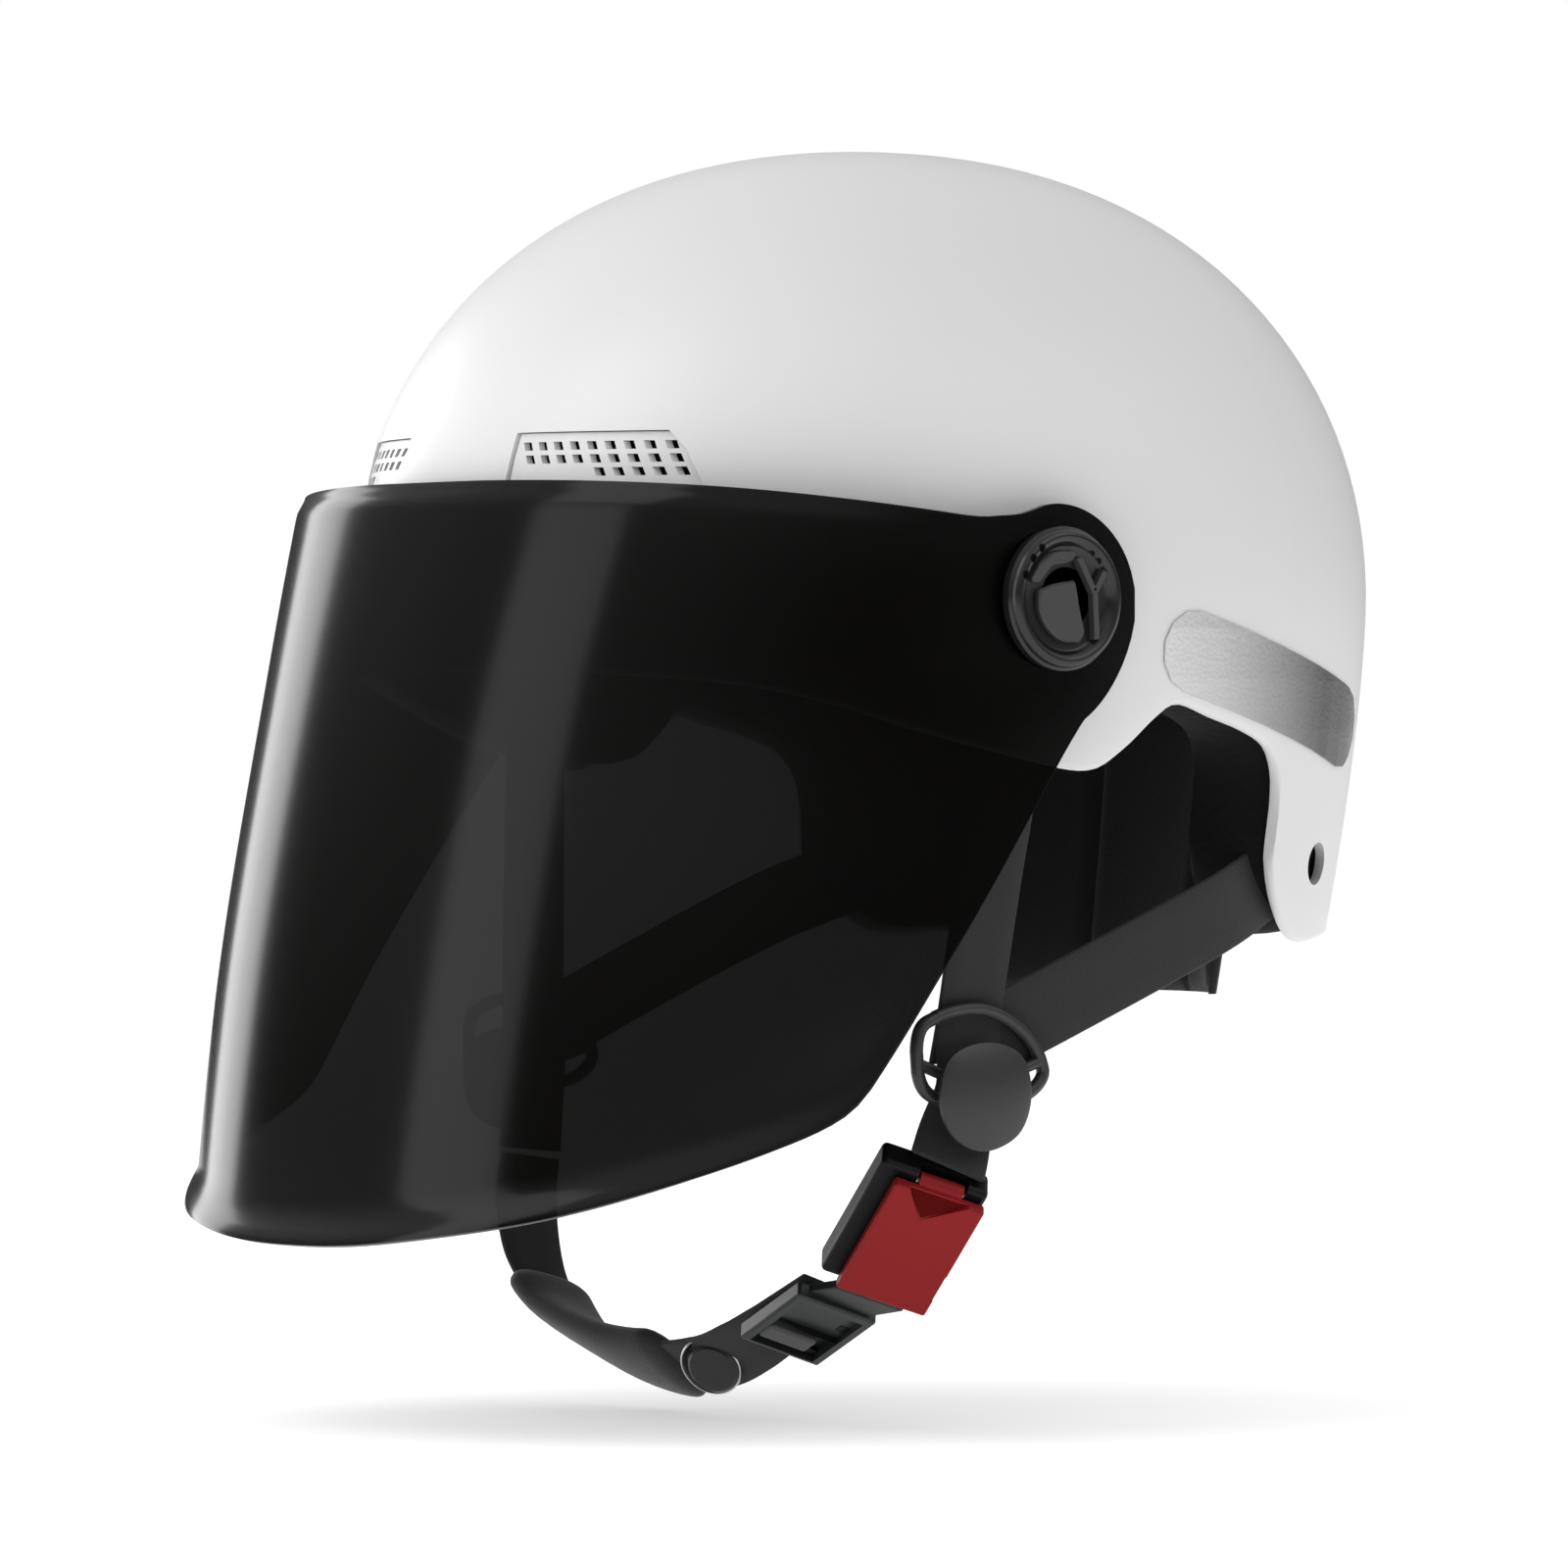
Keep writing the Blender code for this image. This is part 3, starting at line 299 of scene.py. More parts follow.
def even_faces(bm):
    """Turns the faces of a closed bmesh so that neighbours agree."""
    bmesh.ops.recalc_face_normals(bm, faces=bm.faces)
    return bm


def outward(bm):
    """Turns the faces of a closed bmesh outwards."""
    if even_faces(bm).calc_volume(signed=True) < 0:
        bmesh.ops.reverse_faces(bm, faces=bm.faces)
    return bm


def mark_sharp(obj, angle=SHARP_ANGLE):
    obj.data.set_sharp_from_angle(angle=math.radians(angle))


def add_piece(name, bm, look, slot, body, *replaced, smooth_angle=SHARP_ANGLE):
    """Makes a piece from a bmesh in place, rides it on its body and hides the nodes it stands for."""
    obj = place_mesh(name, bm)
    obj.data.materials.append(look)
    obj.data.shade_smooth()
    mark_sharp(obj, smooth_angle)
    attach(obj, body)
    if replaced:
        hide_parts(*replaced)
    return obj


def cutter(name, bm):
    return place_mesh(name, outward(bm))


def apply_modifier(obj, modifier):
    with bpy.context.temp_override(object=obj, active_object=obj, selected_objects=[obj]):
        bpy.ops.object.modifier_apply(modifier=modifier.name)


def combine(obj, other):
    """Cuts another object out of this one, and removes it."""
    modifier = obj.modifiers.new(other.name, "BOOLEAN")
    modifier.object = other
    modifier.operation = "DIFFERENCE"
    apply_modifier(obj, modifier)
    bpy.data.objects.remove(other, do_unlink=True)


def bevel(obj, width, segments, angle=40.0):
    modifier = obj.modifiers.new("soft_edges", "BEVEL")
    modifier.width = width
    modifier.segments = segments
    modifier.limit_method = "ANGLE"
    modifier.angle_limit = math.radians(angle)
    apply_modifier(obj, modifier)


def ring_strip(bm, rings, closed):
    """Quads between rows of vertices; each row closes on itself if closed is true."""
    for first, second in zip(rings, rings[1:]):
        count = len(first)
        for i in range(count if closed else count - 1):
            j = (i + 1) % count
            bm.faces.new((first[i], first[j], second[j], second[i]))


def capped_strip(bm, rings):
    """A closed body through rows of vertices, with a face over its first and its last row."""
    ring_strip(bm, rings, True)
    bm.faces.new(rings[0])
    bm.faces.new(rings[-1])


def turned(bm, centre, axes, profile, segments, capped=True):
    """Turns a profile of (distance along an axis, radius); axes are two directions across it and itself."""
    rings = []
    for height, radius in profile:
        ring = []
        for i in range(segments):
            angle = 2 * math.pi * i / segments
            across = axes[0] * (radius * math.cos(angle)) + axes[1] * (radius * math.sin(angle))
            ring.append(bm.verts.new(centre + across + axes[2] * height))
        rings.append(ring)
    if capped:
        capped_strip(bm, rings)
    else:
        ring_strip(bm, rings + rings[:1], True)


def smooth_curve(points, count):
    """Evenly spread points on a smooth curve through the given 2-D or 3-D points."""
    vectors = [Vector(p) for p in points]
    fine = []
    last = len(vectors) - 1
    for i in range(last):
        p0, p1, p2, p3 = (vectors[max(0, min(last, i + k))] for k in (-1, 0, 1, 2))
        for step in range(24):
            t = step / 24
            fine.append(
                p0 * ((-t + 2 * t**2 - t**3) / 2)
                + p1 * ((2 - 5 * t**2 + 3 * t**3) / 2)
                + p2 * ((t + 4 * t**2 - 3 * t**3) / 2)
                + p3 * ((-(t**2) + t**3) / 2)
            )
    fine.append(vectors[-1])
    return spread_evenly(fine, count)


def spread_evenly(fine, count, along=None):
    """count items picked at equal distances along a fine polyline; along is the path to measure on."""
    path = along or fine
    reach = [0.0]
    for a, b in zip(path, path[1:]):
        reach.append(reach[-1] + (b - a).length)
    picked, i = [], 0
    for k in range(count):
        target = reach[-1] * k / (count - 1)
        while i < len(reach) - 2 and reach[i + 1] < target:
            i += 1
        span = max(reach[i + 1] - reach[i], 1e-12)
        picked.append(fine[i].lerp(fine[i + 1], (target - reach[i]) / span))
    return picked


# ---------------------------------------------------------------- shell and liner


class Bowl:
    """A helmet-shaped surface that lies a given depth inside the shell's outer face."""

    def __init__(self, depth):
        self.half_width = SHELL_HALF_WIDTH - depth
        self.half_length = SHELL_HALF_LENGTH - depth
        self.crown = SHELL_CROWN - depth

    def spread(self, down):
        if down <= 1.0:
            return math.sin(down * math.pi / 2) ** (2 / PLAN_POWER)
        below = (down - 1.0) / 0.5 * SKIRT_DEPTH
        return 1.0 - SKIRT_TUCK * (below / SKIRT_TUCK_DEPTH) ** 1.5

    def point(self, around, down):
        if down <= 1.0:
            rise = max(math.cos(down * math.pi / 2), 0.0) ** (2 / DOME_POWER)
            z = WIDEST_LEVEL + rise * (self.crown - WIDEST_LEVEL)
        else:
            z = WIDEST_LEVEL - (down - 1.0) / 0.5 * SKIRT_DEPTH
        spread = self.spread(down)
        s, c = math.sin(around), math.cos(around)
        x = self.half_width * spread * math.copysign(abs(s) ** (2 / PLAN_POWER), s)
        y = -self.half_length * spread * math.copysign(abs(c) ** (2 / PLAN_POWER), c)
        return Vector((x, y, z))


def edge_columns(bowl, lift, count):
    """(around, down) of points spread evenly along one side of the lower edge, front to back."""
    found = []
    for y, z in smooth_curve(LOWER_EDGE, 2400):
        down = 1.0 + (WIDEST_LEVEL - z - lift) / SKIRT_DEPTH * 0.5
        share = abs(y) / (bowl.half_length * bowl.spread(down))
        if share < 1.0:
            around = math.acos(math.copysign(share ** (PLAN_POWER / 2), -y))
            if not found or around > found[-1].x:
                found.append(Vector((around, down)))
    found = [Vector((0.0, found[0].y))] + found + [Vector((math.pi, found[-1].y))]
    return spread_evenly(found, count, [bowl.point(*spot) for spot in found])


def bowl_wall(outer, inner, lift, count, outer_rows, inner_rows, lip_steps):
    """A wall between two bowls that ends in a rounded lip along the lower edge."""
    half = edge_columns(outer, lift, count)
    columns = [(spot.x, spot.y) for spot in half]
    columns += [(-around, down) for around, down in reversed(columns[1:-1])]
    bm = bmesh.new()
    rings = [[] for _ in range(outer_rows + lip_steps + 1 + inner_rows)]
    for around, down in columns:
        edge_out, edge_in = outer.point(around, down), inner.point(around, down)
        across = (edge_out - edge_in) / 2
        tangent = edge_out - outer.point(around, down - 0.01)
        radius = min(across.length, LIP_RADIUS)
        back = radius / tangent.length * 0.01
        middle = (edge_out + edge_in) / 2 - tangent.normalized() * radius
        spots = []
        for row in range(outer_rows):
            spots.append(outer.point(around, (down - back) * (row + 1) / (outer_rows + 1)))
        for step in range(lip_steps + 1):
            turn = math.pi * step / lip_steps
            rounding = radius * (1 - abs(math.cos(turn)) ** 0.5)
            inset = math.cos(turn) * (across.length - rounding) / across.length
            spots.append(middle + across * inset + tangent.normalized() * radius * math.sin(turn) ** 0.8)
        for row in range(inner_rows):
            spots.append(inner.point(around, (down - back) * (inner_rows - row) / (inner_rows + 1)))
        for ring, spot in zip(rings, spots):
            ring.append(bm.verts.new(spot))
    ring_strip(bm, rings, True)
    for ring, bowl in ((rings[0], outer), (rings[-1], inner)):
        top = bm.verts.new(bowl.point(0.0, 0.0))
        for i, vertex in enumerate(ring):
            bm.faces.new((top, ring[(i + 1) % len(ring)], vertex))
    return outward(bm)


def outline_prism(name, outline, start, end):
    """A cutter: an outline of (X, Z) points swept along Y."""
    bm = bmesh.new()
    rings = []
    for depth in (start, end):
        rings.append([bm.verts.new((x, depth, z)) for x, z in outline])
    capped_strip(bm, rings)
    return cutter(name, bm)


def cylinder_between(bm, start, end, radius, segments=32):
    start, end = Vector(start), Vector(end)
    turn = (end - start).to_track_quat("Z", "Y").to_matrix().to_4x4()
    bmesh.ops.create_cone(
        bm,
        cap_ends=True,
        segments=segments,
        radius1=radius,
        radius2=radius,
        depth=(end - start).length,
        matrix=Matrix.Translation((start + end) / 2) @ turn,
    )


VENT_OUTLINE = [(0.0225, -0.0425), (0.0615, -0.0425), (0.0660, -0.0470), (0.0735, -0.0600), (0.0225, -0.0600)]
VENT_CUT_DEPTHS = (-0.15, -0.09)
NECK_HOLE = (0.0800, -0.1500)
NECK_HOLE_REACH = (0.065, 0.12)
NECK_HOLE_RADIUS = 0.0055


def make_shell():
    bm = bowl_wall(Bowl(0.0), Bowl(SHELL_WALL), 0.0, 150, 44, 12, 8)
    shell = add_piece("shell", bm, WHITE, "white_gloss", "helmet", "outer_shell")
    for side, word in SIDES:
        outline = [(side * x, z) for x, z in VENT_OUTLINE]
        combine(shell, outline_prism(f"vent_cut_{word}", outline, *VENT_CUT_DEPTHS))
        bm = bmesh.new()
        start, end = ((side * x, *NECK_HOLE) for x in NECK_HOLE_REACH)
        cylinder_between(bm, start, end, NECK_HOLE_RADIUS)
        combine(shell, cutter(f"neck_cut_{word}", bm))
    mark_sharp(shell)


def make_liner():
    bm = bowl_wall(Bowl(LINER_DEPTH), Bowl(LINER_DEPTH + LINER_WALL), LINER_EDGE_LIFT, 110, 10, 30, 10)
    add_piece("liner", bm, FOAM, "foam", "helmet", "foam_liner")


# ---------------------------------------------------------------- visor

VISOR_UPPER = [
    (-0.0455, -0.0632),
    (-0.0560, -0.0640),
    (-0.0700, -0.0625),
    (-0.0900, -0.0600),
    (-0.1150, -0.0570),
    (-0.1400, -0.0545),
]
VISOR_LOWER = [
    (-0.0250, -0.1148),
    (-0.0330, -0.1250),
    (-0.0520, -0.1510),
    (-0.0710, -0.1770),
    (-0.0860, -0.1985),
    (-0.0930, -0.2075),
    (-0.1010, -0.2130),
    (-0.1150, -0.2190),
    (-0.1330, -0.2258),
    (-0.1560, -0.2345),
    (-0.1720, -0.2400),
    (-0.1800, -0.2440),
]
EAR_CENTRE = (-0.0322, -0.0855)
EAR_TIP = EAR_CENTRE[0] + EAR_RADIUS
LIP_HEIGHT = 0.008
LIP_FLARE = 0.0028
RIM_HEIGHT = 0.0050
RIM_DEPTH = 0.0012
EAR_DROP = 0.031
EAR_POWER = 1.7
VISOR_HEIGHT = 0.17
VISOR_REACH = 0.1090
VISOR_SLOPE = 0.0495
VISOR_CURL = 0.0147
VISOR_SPREAD = 0.0042
EAR_SHARE = 0.22
HUB_CUT_REACH = (0.11, 0.125)
HUB_CUT_RADIUS = 0.0076
FINE_UPPER = smooth_curve(VISOR_UPPER, 120)
FINE_LOWER = smooth_curve(VISOR_LOWER, 240)


def ease(value, start, end):
    """Runs smoothly from 0 at start to 1 at end."""
    t = max(0.0, min(1.0, (value - start) / (end - start)))
    return t * t * (3 - 2 * t)


def read_edge(points, y):
    """Height of an edge whose points run from the back to the front."""
    if y >= points[0].x:
        return points[0].y
    for a, b in zip(points, points[1:]):
        if y >= b.x:
            return a.y + (b.y - a.y) * (a.x - y) / max(a.x - b.x, 1e-9)
    return points[-1].y


def ear_half_height(y):
    return math.sqrt(max(EAR_RADIUS**2 - (y - EAR_CENTRE[0]) ** 2, 0.0))


def ear_depth(y):
    """How far the ear reaches below its middle, deeper than it reaches above."""
    share = min(abs(y - EAR_CENTRE[0]) / EAR_RADIUS, 1.0)
    return EAR_DROP * (1 - share**EAR_POWER) ** (1 / EAR_POWER)


def visor_upper(y):
    ear = EAR_CENTRE[1] + ear_half_height(y)
    if y > EAR_CENTRE[0]:
        return ear
    return ear + (read_edge(FINE_UPPER, y) - ear) * ease(-y, 0.0340, 0.0500)


def visor_lower(y):
    if y > VISOR_LOWER[0][0]:
        return EAR_CENTRE[1] - ear_depth(y)
    return read_edge(FINE_LOWER, y)


def visor_section(z):
    """Half-width and forward reach of the visor at a height."""
    t = (VISOR_TOP - z) / VISOR_HEIGHT
    reach = VISOR_REACH + VISOR_SLOPE * t - VISOR_CURL * t * t
    return EAR_X + VISOR_SPREAD * ease(-z, 0.10, 0.19), reach


def visor_point(along, up):
    """along runs 0 to 1 from the tip of an ear to the front middle; up from the lower to the upper edge."""
    if along < EAR_SHARE:
        y, turn = EAR_TIP + (PIVOT.y - EAR_TIP) * math.sin(along / EAR_SHARE * math.pi / 2), 0.0
    else:
        y, turn = PIVOT.y, (along - EAR_SHARE) / (1 - EAR_SHARE) * math.pi / 2
    forward = math.sin(turn) ** (2 / VISOR_POWER)
    sideways = math.cos(turn) ** (2 / VISOR_POWER) if turn < math.pi / 2 - 1e-6 else 0.0
    z = -0.15
    for _ in range(4):
        width, reach = visor_section(z)
        here = y - reach * forward
        low, high = visor_lower(here), visor_upper(here)
        z = low + (high - low) * up
    width, reach = visor_section(z)
    ahead = ease(forward, 0.25, 0.75)
    lip = LIP_FLARE * (1 - ease(z - low, 0, LIP_HEIGHT)) * ahead
    rim = RIM_DEPTH * (1 - ease(high - z, 0, RIM_HEIGHT)) * ahead
    grow = 1 + (lip - rim) / reach
    return Vector((width * sideways * grow, y - reach * forward * grow, z))


VISOR_LEVELS = [0.0, 0.008, 0.018, 0.03, 0.045]
VISOR_LEVELS += [0.06 + 0.88 * i / 26 for i in range(27)]
VISOR_LEVELS += [0.955, 0.965, 0.975, 0.985, 0.993, 1.0]


def make_visor(columns=84):
    bm = bmesh.new()
    alongs = [0.002 + 0.998 * (i / columns) ** 1.15 for i in range(columns + 1)]
    rings = []
    for level in VISOR_LEVELS:
        left = [visor_point(along, level) for along in alongs]
        right = [Vector((-p.x, p.y, p.z)) for p in reversed(left[:-1])]
        rings.append([bm.verts.new(p) for p in left + right])
    ring_strip(bm, rings, False)
    bm.normal_update()
    front = min(bm.faces, key=lambda face: face.calc_center_median().y)
    if front.normal.y > 0:
        bmesh.ops.reverse_faces(bm, faces=bm.faces)
    visor = add_piece("visor_sheet", bm, SMOKED, "smoked_polycarbonate", "visor", "visor")
    wall = visor.modifiers.new("thickness", "SOLIDIFY")
    wall.thickness = VISOR_WALL
    wall.offset = -1.0
    apply_modifier(visor, wall)
    for side, word in SIDES:
        bm = bmesh.new()
        start, end = ((side * x, PIVOT.y, PIVOT.z) for x in HUB_CUT_REACH)
        cylinder_between(bm, start, end, HUB_CUT_RADIUS)
        combine(visor, cutter(f"hub_cut_{word}", bm))
    bevel(visor, 0.0006, 2, 50.0)
    mark_sharp(visor)


# ---------------------------------------------------------------- locking caps


def plate(bm, outline, inner, outer, inset):
    """A raised plate on an outline of (Y, Z) points, between two X, with a chamfered outer edge."""
    centre = sum((Vector(p) for p in outline), Vector((0, 0))) / len(outline)
    rings = []
    for x, shrink in ((inner, 0.0), (outer - math.copysign(inset, outer), 0.0), (outer, inset)):
        ring = []
        for p in outline:
            reach = Vector(p) - centre
            spot = centre + reach * (1 - shrink / reach.length)
            ring.append(bm.verts.new((x, spot.x, spot.y)))
        rings.append(ring)
    capped_strip(bm, rings)


# Steps of the cap as (X, radius), outlines on it as (Y, Z) from the pivot, holes as (degrees, radius)
CAP_PROFILE = [
    (0.1186, 0.0076),
    (0.1186, 0.0171),
    (0.1190, 0.0177),
    (0.1212, 0.0178),
    (0.1216, 0.0174),
    (0.1218, 0.0171),
    (0.1228, 0.0169),
    (0.1234, 0.0164),
    (0.1237, 0.0156),
    (0.1236, 0.0148),
    (0.1230, 0.0140),
    (0.1222, 0.0134),
    (0.1217, 0.0130),
    (0.1216, 0.0126),
    (0.1216, 0.0076),
]
CAP_CORE = [(0.1212, 0.0078), (0.1216, 0.0078)]
DIAL_OUTLINE = [
    (-0.0094, 0.0012),
    (-0.0080, 0.0024),
    (-0.0040, 0.0036),
    (0.0008, 0.0043),
    (0.0022, 0.0040),
    (0.0036, -0.0020),
    (0.0052, -0.0088),
    (0.0050, -0.0102),
    (0.0030, -0.0108),
    (-0.0020, -0.0104),
    (-0.0062, -0.0078),
    (-0.0090, -0.0036),
]
CAP_RIBS = (
    ((0.0030, 0.0100), (0.0080, 0.0015)),
    ((0.0115, 0.0070), (0.0080, 0.0015)),
    ((0.0080, 0.0020), (0.0086, -0.0100)),
)
RIB_WIDTH = 0.0017
CAP_SHELF = [
    (-0.0112, 0.0052),
    (-0.0060, 0.0108),
    (0.0024, 0.0118),
    (0.0014, 0.0092),
    (-0.0050, 0.0078),
    (-0.0090, 0.0038),
]
CAP_HOLES = ((126, 0.0152), (140, 0.0152), (158, 0.0152), (44, 0.0131), (56, 0.0131))
CAP_HOLE_REACH = (0.1222, 0.1250)
CAP_HOLE_RADIUS = 0.0011
DIAL_FLOOR_X = 0.1214
DIAL_TOP_X, SHELF_TOP_X, RIB_TOP_X = 0.1232, 0.1226, 0.1236


def rib_outline(start, end, width):
    start, end = Vector(start), Vector(end)
    along = (end - start).normalized()
    across = Vector((-along.y, along.x)) * width / 2
    return [start - across, start + across, end + across, end - across]


def pivot_axes(side):
    """Two directions across the pivot, and the one that runs out of it on a side."""
    return Vector((0, 1, 0)), Vector((0, 0, 1)), Vector((side, 0, 0))


def about_pivot(outline):
    return [(PIVOT.y + y, PIVOT.z + z) for y, z in outline]


def make_cap(side, word):
    """The cap's body: a stepped ring with small round holes."""
    bm = bmesh.new()
    turned(bm, PIVOT, pivot_axes(side), CAP_PROFILE, 72)
    names = ("black_plastic", f"{word}_lock", f"lock_cap_{word}")
    cap = add_piece(f"cap_{word}", even_faces(bm), KNOB_BLACK, *names)
    for index, (angle, radius) in enumerate(CAP_HOLES):
        turn = math.radians(angle)
        y, z = PIVOT.y + radius * math.cos(turn), PIVOT.z + radius * math.sin(turn)
        start, end = ((side * x, y, z) for x in CAP_HOLE_REACH)
        bm = bmesh.new()
        cylinder_between(bm, start, end, CAP_HOLE_RADIUS, 16)
        combine(cap, cutter(f"cap_hole_{word}_{index}", bm))
    mark_sharp(cap)


def make_dial(side, word):
    """The dark floor of the cap, and on it the D-shaped thumb plate, a shelf and a Y of ribs."""
    body = ("black_plastic", f"{word}_lock")
    bm = bmesh.new()
    turned(bm, PIVOT, pivot_axes(side), CAP_CORE, 40)
    add_piece(f"dial_floor_{word}", even_faces(bm), DEEP_BLACK, *body)
    bm = bmesh.new()
    floor = side * DIAL_FLOOR_X
    plate(bm, smooth_loop(about_pivot(DIAL_OUTLINE), 60), floor, side * DIAL_TOP_X, 0.0005)
    plate(bm, smooth_loop(about_pivot(CAP_SHELF), 40), floor, side * SHELF_TOP_X, 0.0003)
    for rib in CAP_RIBS:
        plate(bm, rib_outline(*about_pivot(rib), RIB_WIDTH), floor, side * RIB_TOP_X, 0.0004)
    add_piece(f"dial_{word}", even_faces(bm), KNOB_GREY, *body, smooth_angle=30.0)


def make_caps():
    for side, word in SIDES:
        make_cap(side, word)
        make_dial(side, word)


def smooth_loop(points, count):
    """Evenly spread points on a smooth closed curve."""
    vectors, size, fine = [Vector(p) for p in points], len(points), []
    for i in range(size):
        fine += smooth_curve([vectors[(i + k) % size] for k in (-1, 0, 1, 2)], 73)[24:48]
    fine.append(fine[0].copy())
    return spread_evenly(fine, count + 1)[:-1]


# ---------------------------------------------------------------- webbing


def station_curve(stations, count):
    """Evenly spread (point, width direction) pairs along a strap."""
    points = smooth_curve([p for p, _ in stations], count)
    reach = [0.0]
    for (a, _), (b, _) in zip(stations, stations[1:]):
        reach.append(reach[-1] + (Vector(b) - Vector(a)).length)
    pairs = []
    for k, point in enumerate(points):
        target = reach[-1] * k / (count - 1)
        i = max(j for j in range(len(stations) - 1) if reach[j] <= target + 1e-9)
        t = (target - reach[i]) / (reach[i + 1] - reach[i])
        wide = Vector(stations[i][1]).lerp(Vector(stations[i + 1][1]), t)
        pairs.append((point, wide.normalized()))
    return pairs


STRAP_SECTION = [(-1.0, 0.0), (-0.965, 0.75), (-0.90, 1.0), (-0.45, 0.93), (0.0, 0.9), (0.45, 0.93)]
STRAP_SECTION += [(0.90, 1.0), (0.965, 0.75), (1.0, 0.0)]
STRAP_SECTION += [(u, -v) for u, v in reversed(STRAP_SECTION[1:-1])]


def swept(stations, width, thickness, count, section, ends=lambda t: 1.0):
    """A closed body along stations, with UVs in metres: U across the strap, V along it."""
    pairs = station_curve(stations, count)
    bm = bmesh.new()
    layer = bm.loops.layers.uv.new("weave")
    places, rings, reach = {}, [], 0.0
    for k, (point, wide) in enumerate(pairs):
        before, after = pairs[max(k - 1, 0)][0], pairs[min(k + 1, count - 1)][0]
        along = (after - before).normalized()
        wide = (wide - along * wide.dot(along)).normalized()
        out = wide.cross(along)
        reach += (point - pairs[max(k - 1, 0)][0]).length
        size = ends(k / (count - 1))
        ring = []
        for u, v in section:
            sideways = width / 2 * u * (0.35 + 0.65 * size)
            vertex = bm.verts.new(point + wide * sideways + out * (thickness / 2 * v * size))
            places[vertex] = (width / 2 * u, reach)
            ring.append(vertex)
        rings.append(ring)
    capped_strip(bm, rings)
    outward(bm)
    for face in bm.faces:
        for loop in face.loops:
            loop[layer].uv = places[loop.vert]
    return bm


def mirrored(stations, side):
    return [((side * p[0], p[1], p[2]), (side * w[0], w[1], w[2])) for p, w in stations]


FRONT_STRAP = [
    ((0.0985, -0.0315, -0.1000), (0.10, 0.995, 0.0)),
    ((0.0980, -0.0325, -0.1250), (0.08, 0.995, 0.0)),
    ((0.0945, -0.0355, -0.1550), (0.04, 0.995, -0.06)),
    ((0.0908, -0.0385, -0.1870), (0.0, 0.995, -0.08)),
    ((0.0882, -0.0390, -0.1990), (0.0, 0.995, -0.08)),
]
REAR_STRAP = [
    ((0.0760, 0.0820, -0.1465), (0.10, -0.37, 0.92)),
    ((0.0825, 0.0700, -0.1515), (0.08, -0.37, 0.92)),
    ((0.0885, 0.0560, -0.1570), (0.06, -0.37, 0.92)),
    ((0.0925, 0.0400, -0.1632), (0.03, -0.37, 0.93)),
    ((0.0928, 0.0120, -0.1746), (0.0, -0.38, 0.925)),
    ((0.0910, -0.0220, -0.1888), (0.0, -0.40, 0.915)),
    ((0.0890, -0.0340, -0.1935), (0.0, -0.40, 0.915)),
]
BUCKLE_STRAP = [
    ((0.0905, -0.0385, -0.1895), (0.0, 1.0, 0.0)),
    ((0.0903, -0.0385, -0.2050), (0.0, 1.0, 0.0)),
    ((0.0912, -0.0425, -0.2150), (0.12, 0.98, -0.12)),
    ((0.0955, -0.0490, -0.2239), (0.39, 0.863, -0.32)),
]
YOKE_STRAP = [
    ((-0.0905, -0.0385, -0.1895), (0.0, 1.0, 0.0)),
    ((-0.0903, -0.0385, -0.2050), (0.0, 1.0, 0.0)),
    ((-0.0900, -0.0395, -0.2150), (0.0, 1.0, 0.0)),
    ((-0.0896, -0.0405, -0.2255), (0.0, 1.0, 0.0)),
]
CHIN_STRAP = [
    ((-0.0893, -0.0406, -0.2272), (0.0, 1.0, 0.0)),
    ((-0.0885, -0.0425, -0.2400), (0.08, 0.98, -0.15)),
    ((-0.0790, -0.0460, -0.2560), (0.10, 0.94, -0.32)),
    ((-0.0620, -0.0485, -0.2680), (0.10, 0.90, -0.43)),
    ((-0.0420, -0.0500, -0.2745), (0.07, 0.86, -0.51)),
    ((-0.0200, -0.0500, -0.2778), (0.04, 0.80, -0.60)),
    ((0.0010, -0.0500, -0.2768), (0.06, 0.74, -0.67)),
    ((0.0160, -0.0500, -0.2720), (0.12, 0.80, -0.58)),
    ((0.0285, -0.0485, -0.2655), (0.16, 0.90, -0.40)),
    ((0.0480, -0.0477, -0.2560), (0.163, 0.93, -0.33)),
]
CHIN_PAD = [
    ((-0.0760, -0.0465, -0.2585), (0.10, 0.93, -0.35)),
    ((-0.0620, -0.0485, -0.2680), (0.10, 0.90, -0.43)),
    ((-0.0420, -0.0500, -0.2745), (0.07, 0.86, -0.51)),
    ((-0.0250, -0.0500, -0.2774), (0.05, 0.81, -0.58)),
    ((-0.0100, -0.0500, -0.2778), (0.05, 0.77, -0.63)),
]
WEBBING_WIDTH = 0.0200
CHIN_STRAP_WIDTH = 0.0190
WEBBING_THICKNESS = 0.0016


def make_straps():
    size = (WEBBING_WIDTH, WEBBING_THICKNESS)
    for side, word in SIDES:
        for stations, what in ((FRONT_STRAP, "front"), (REAR_STRAP, "rear")):
            bm = swept(mirrored(stations, side), *size, 46, STRAP_SECTION)
            add_piece(f"{what}_webbing_{word}", bm, WEBBING, "webbing", "helmet", f"{what}_strap_{word}")
    bm = swept(BUCKLE_STRAP, *size, 20, STRAP_SECTION)
    add_piece("buckle_webbing", bm, WEBBING, "webbing", "helmet", "buckle_strap")
    bm = swept(YOKE_STRAP, *size, 14, STRAP_SECTION)
    add_piece("yoke_webbing", bm, WEBBING, "webbing", "helmet", "yoke_strap")
    bm = swept(CHIN_STRAP, CHIN_STRAP_WIDTH, WEBBING_THICKNESS, 90, STRAP_SECTION)
    add_piece("chin_webbing", bm, WEBBING, "webbing", "chin_strap", "chin_strap")


# ---------------------------------------------------------------- yokes

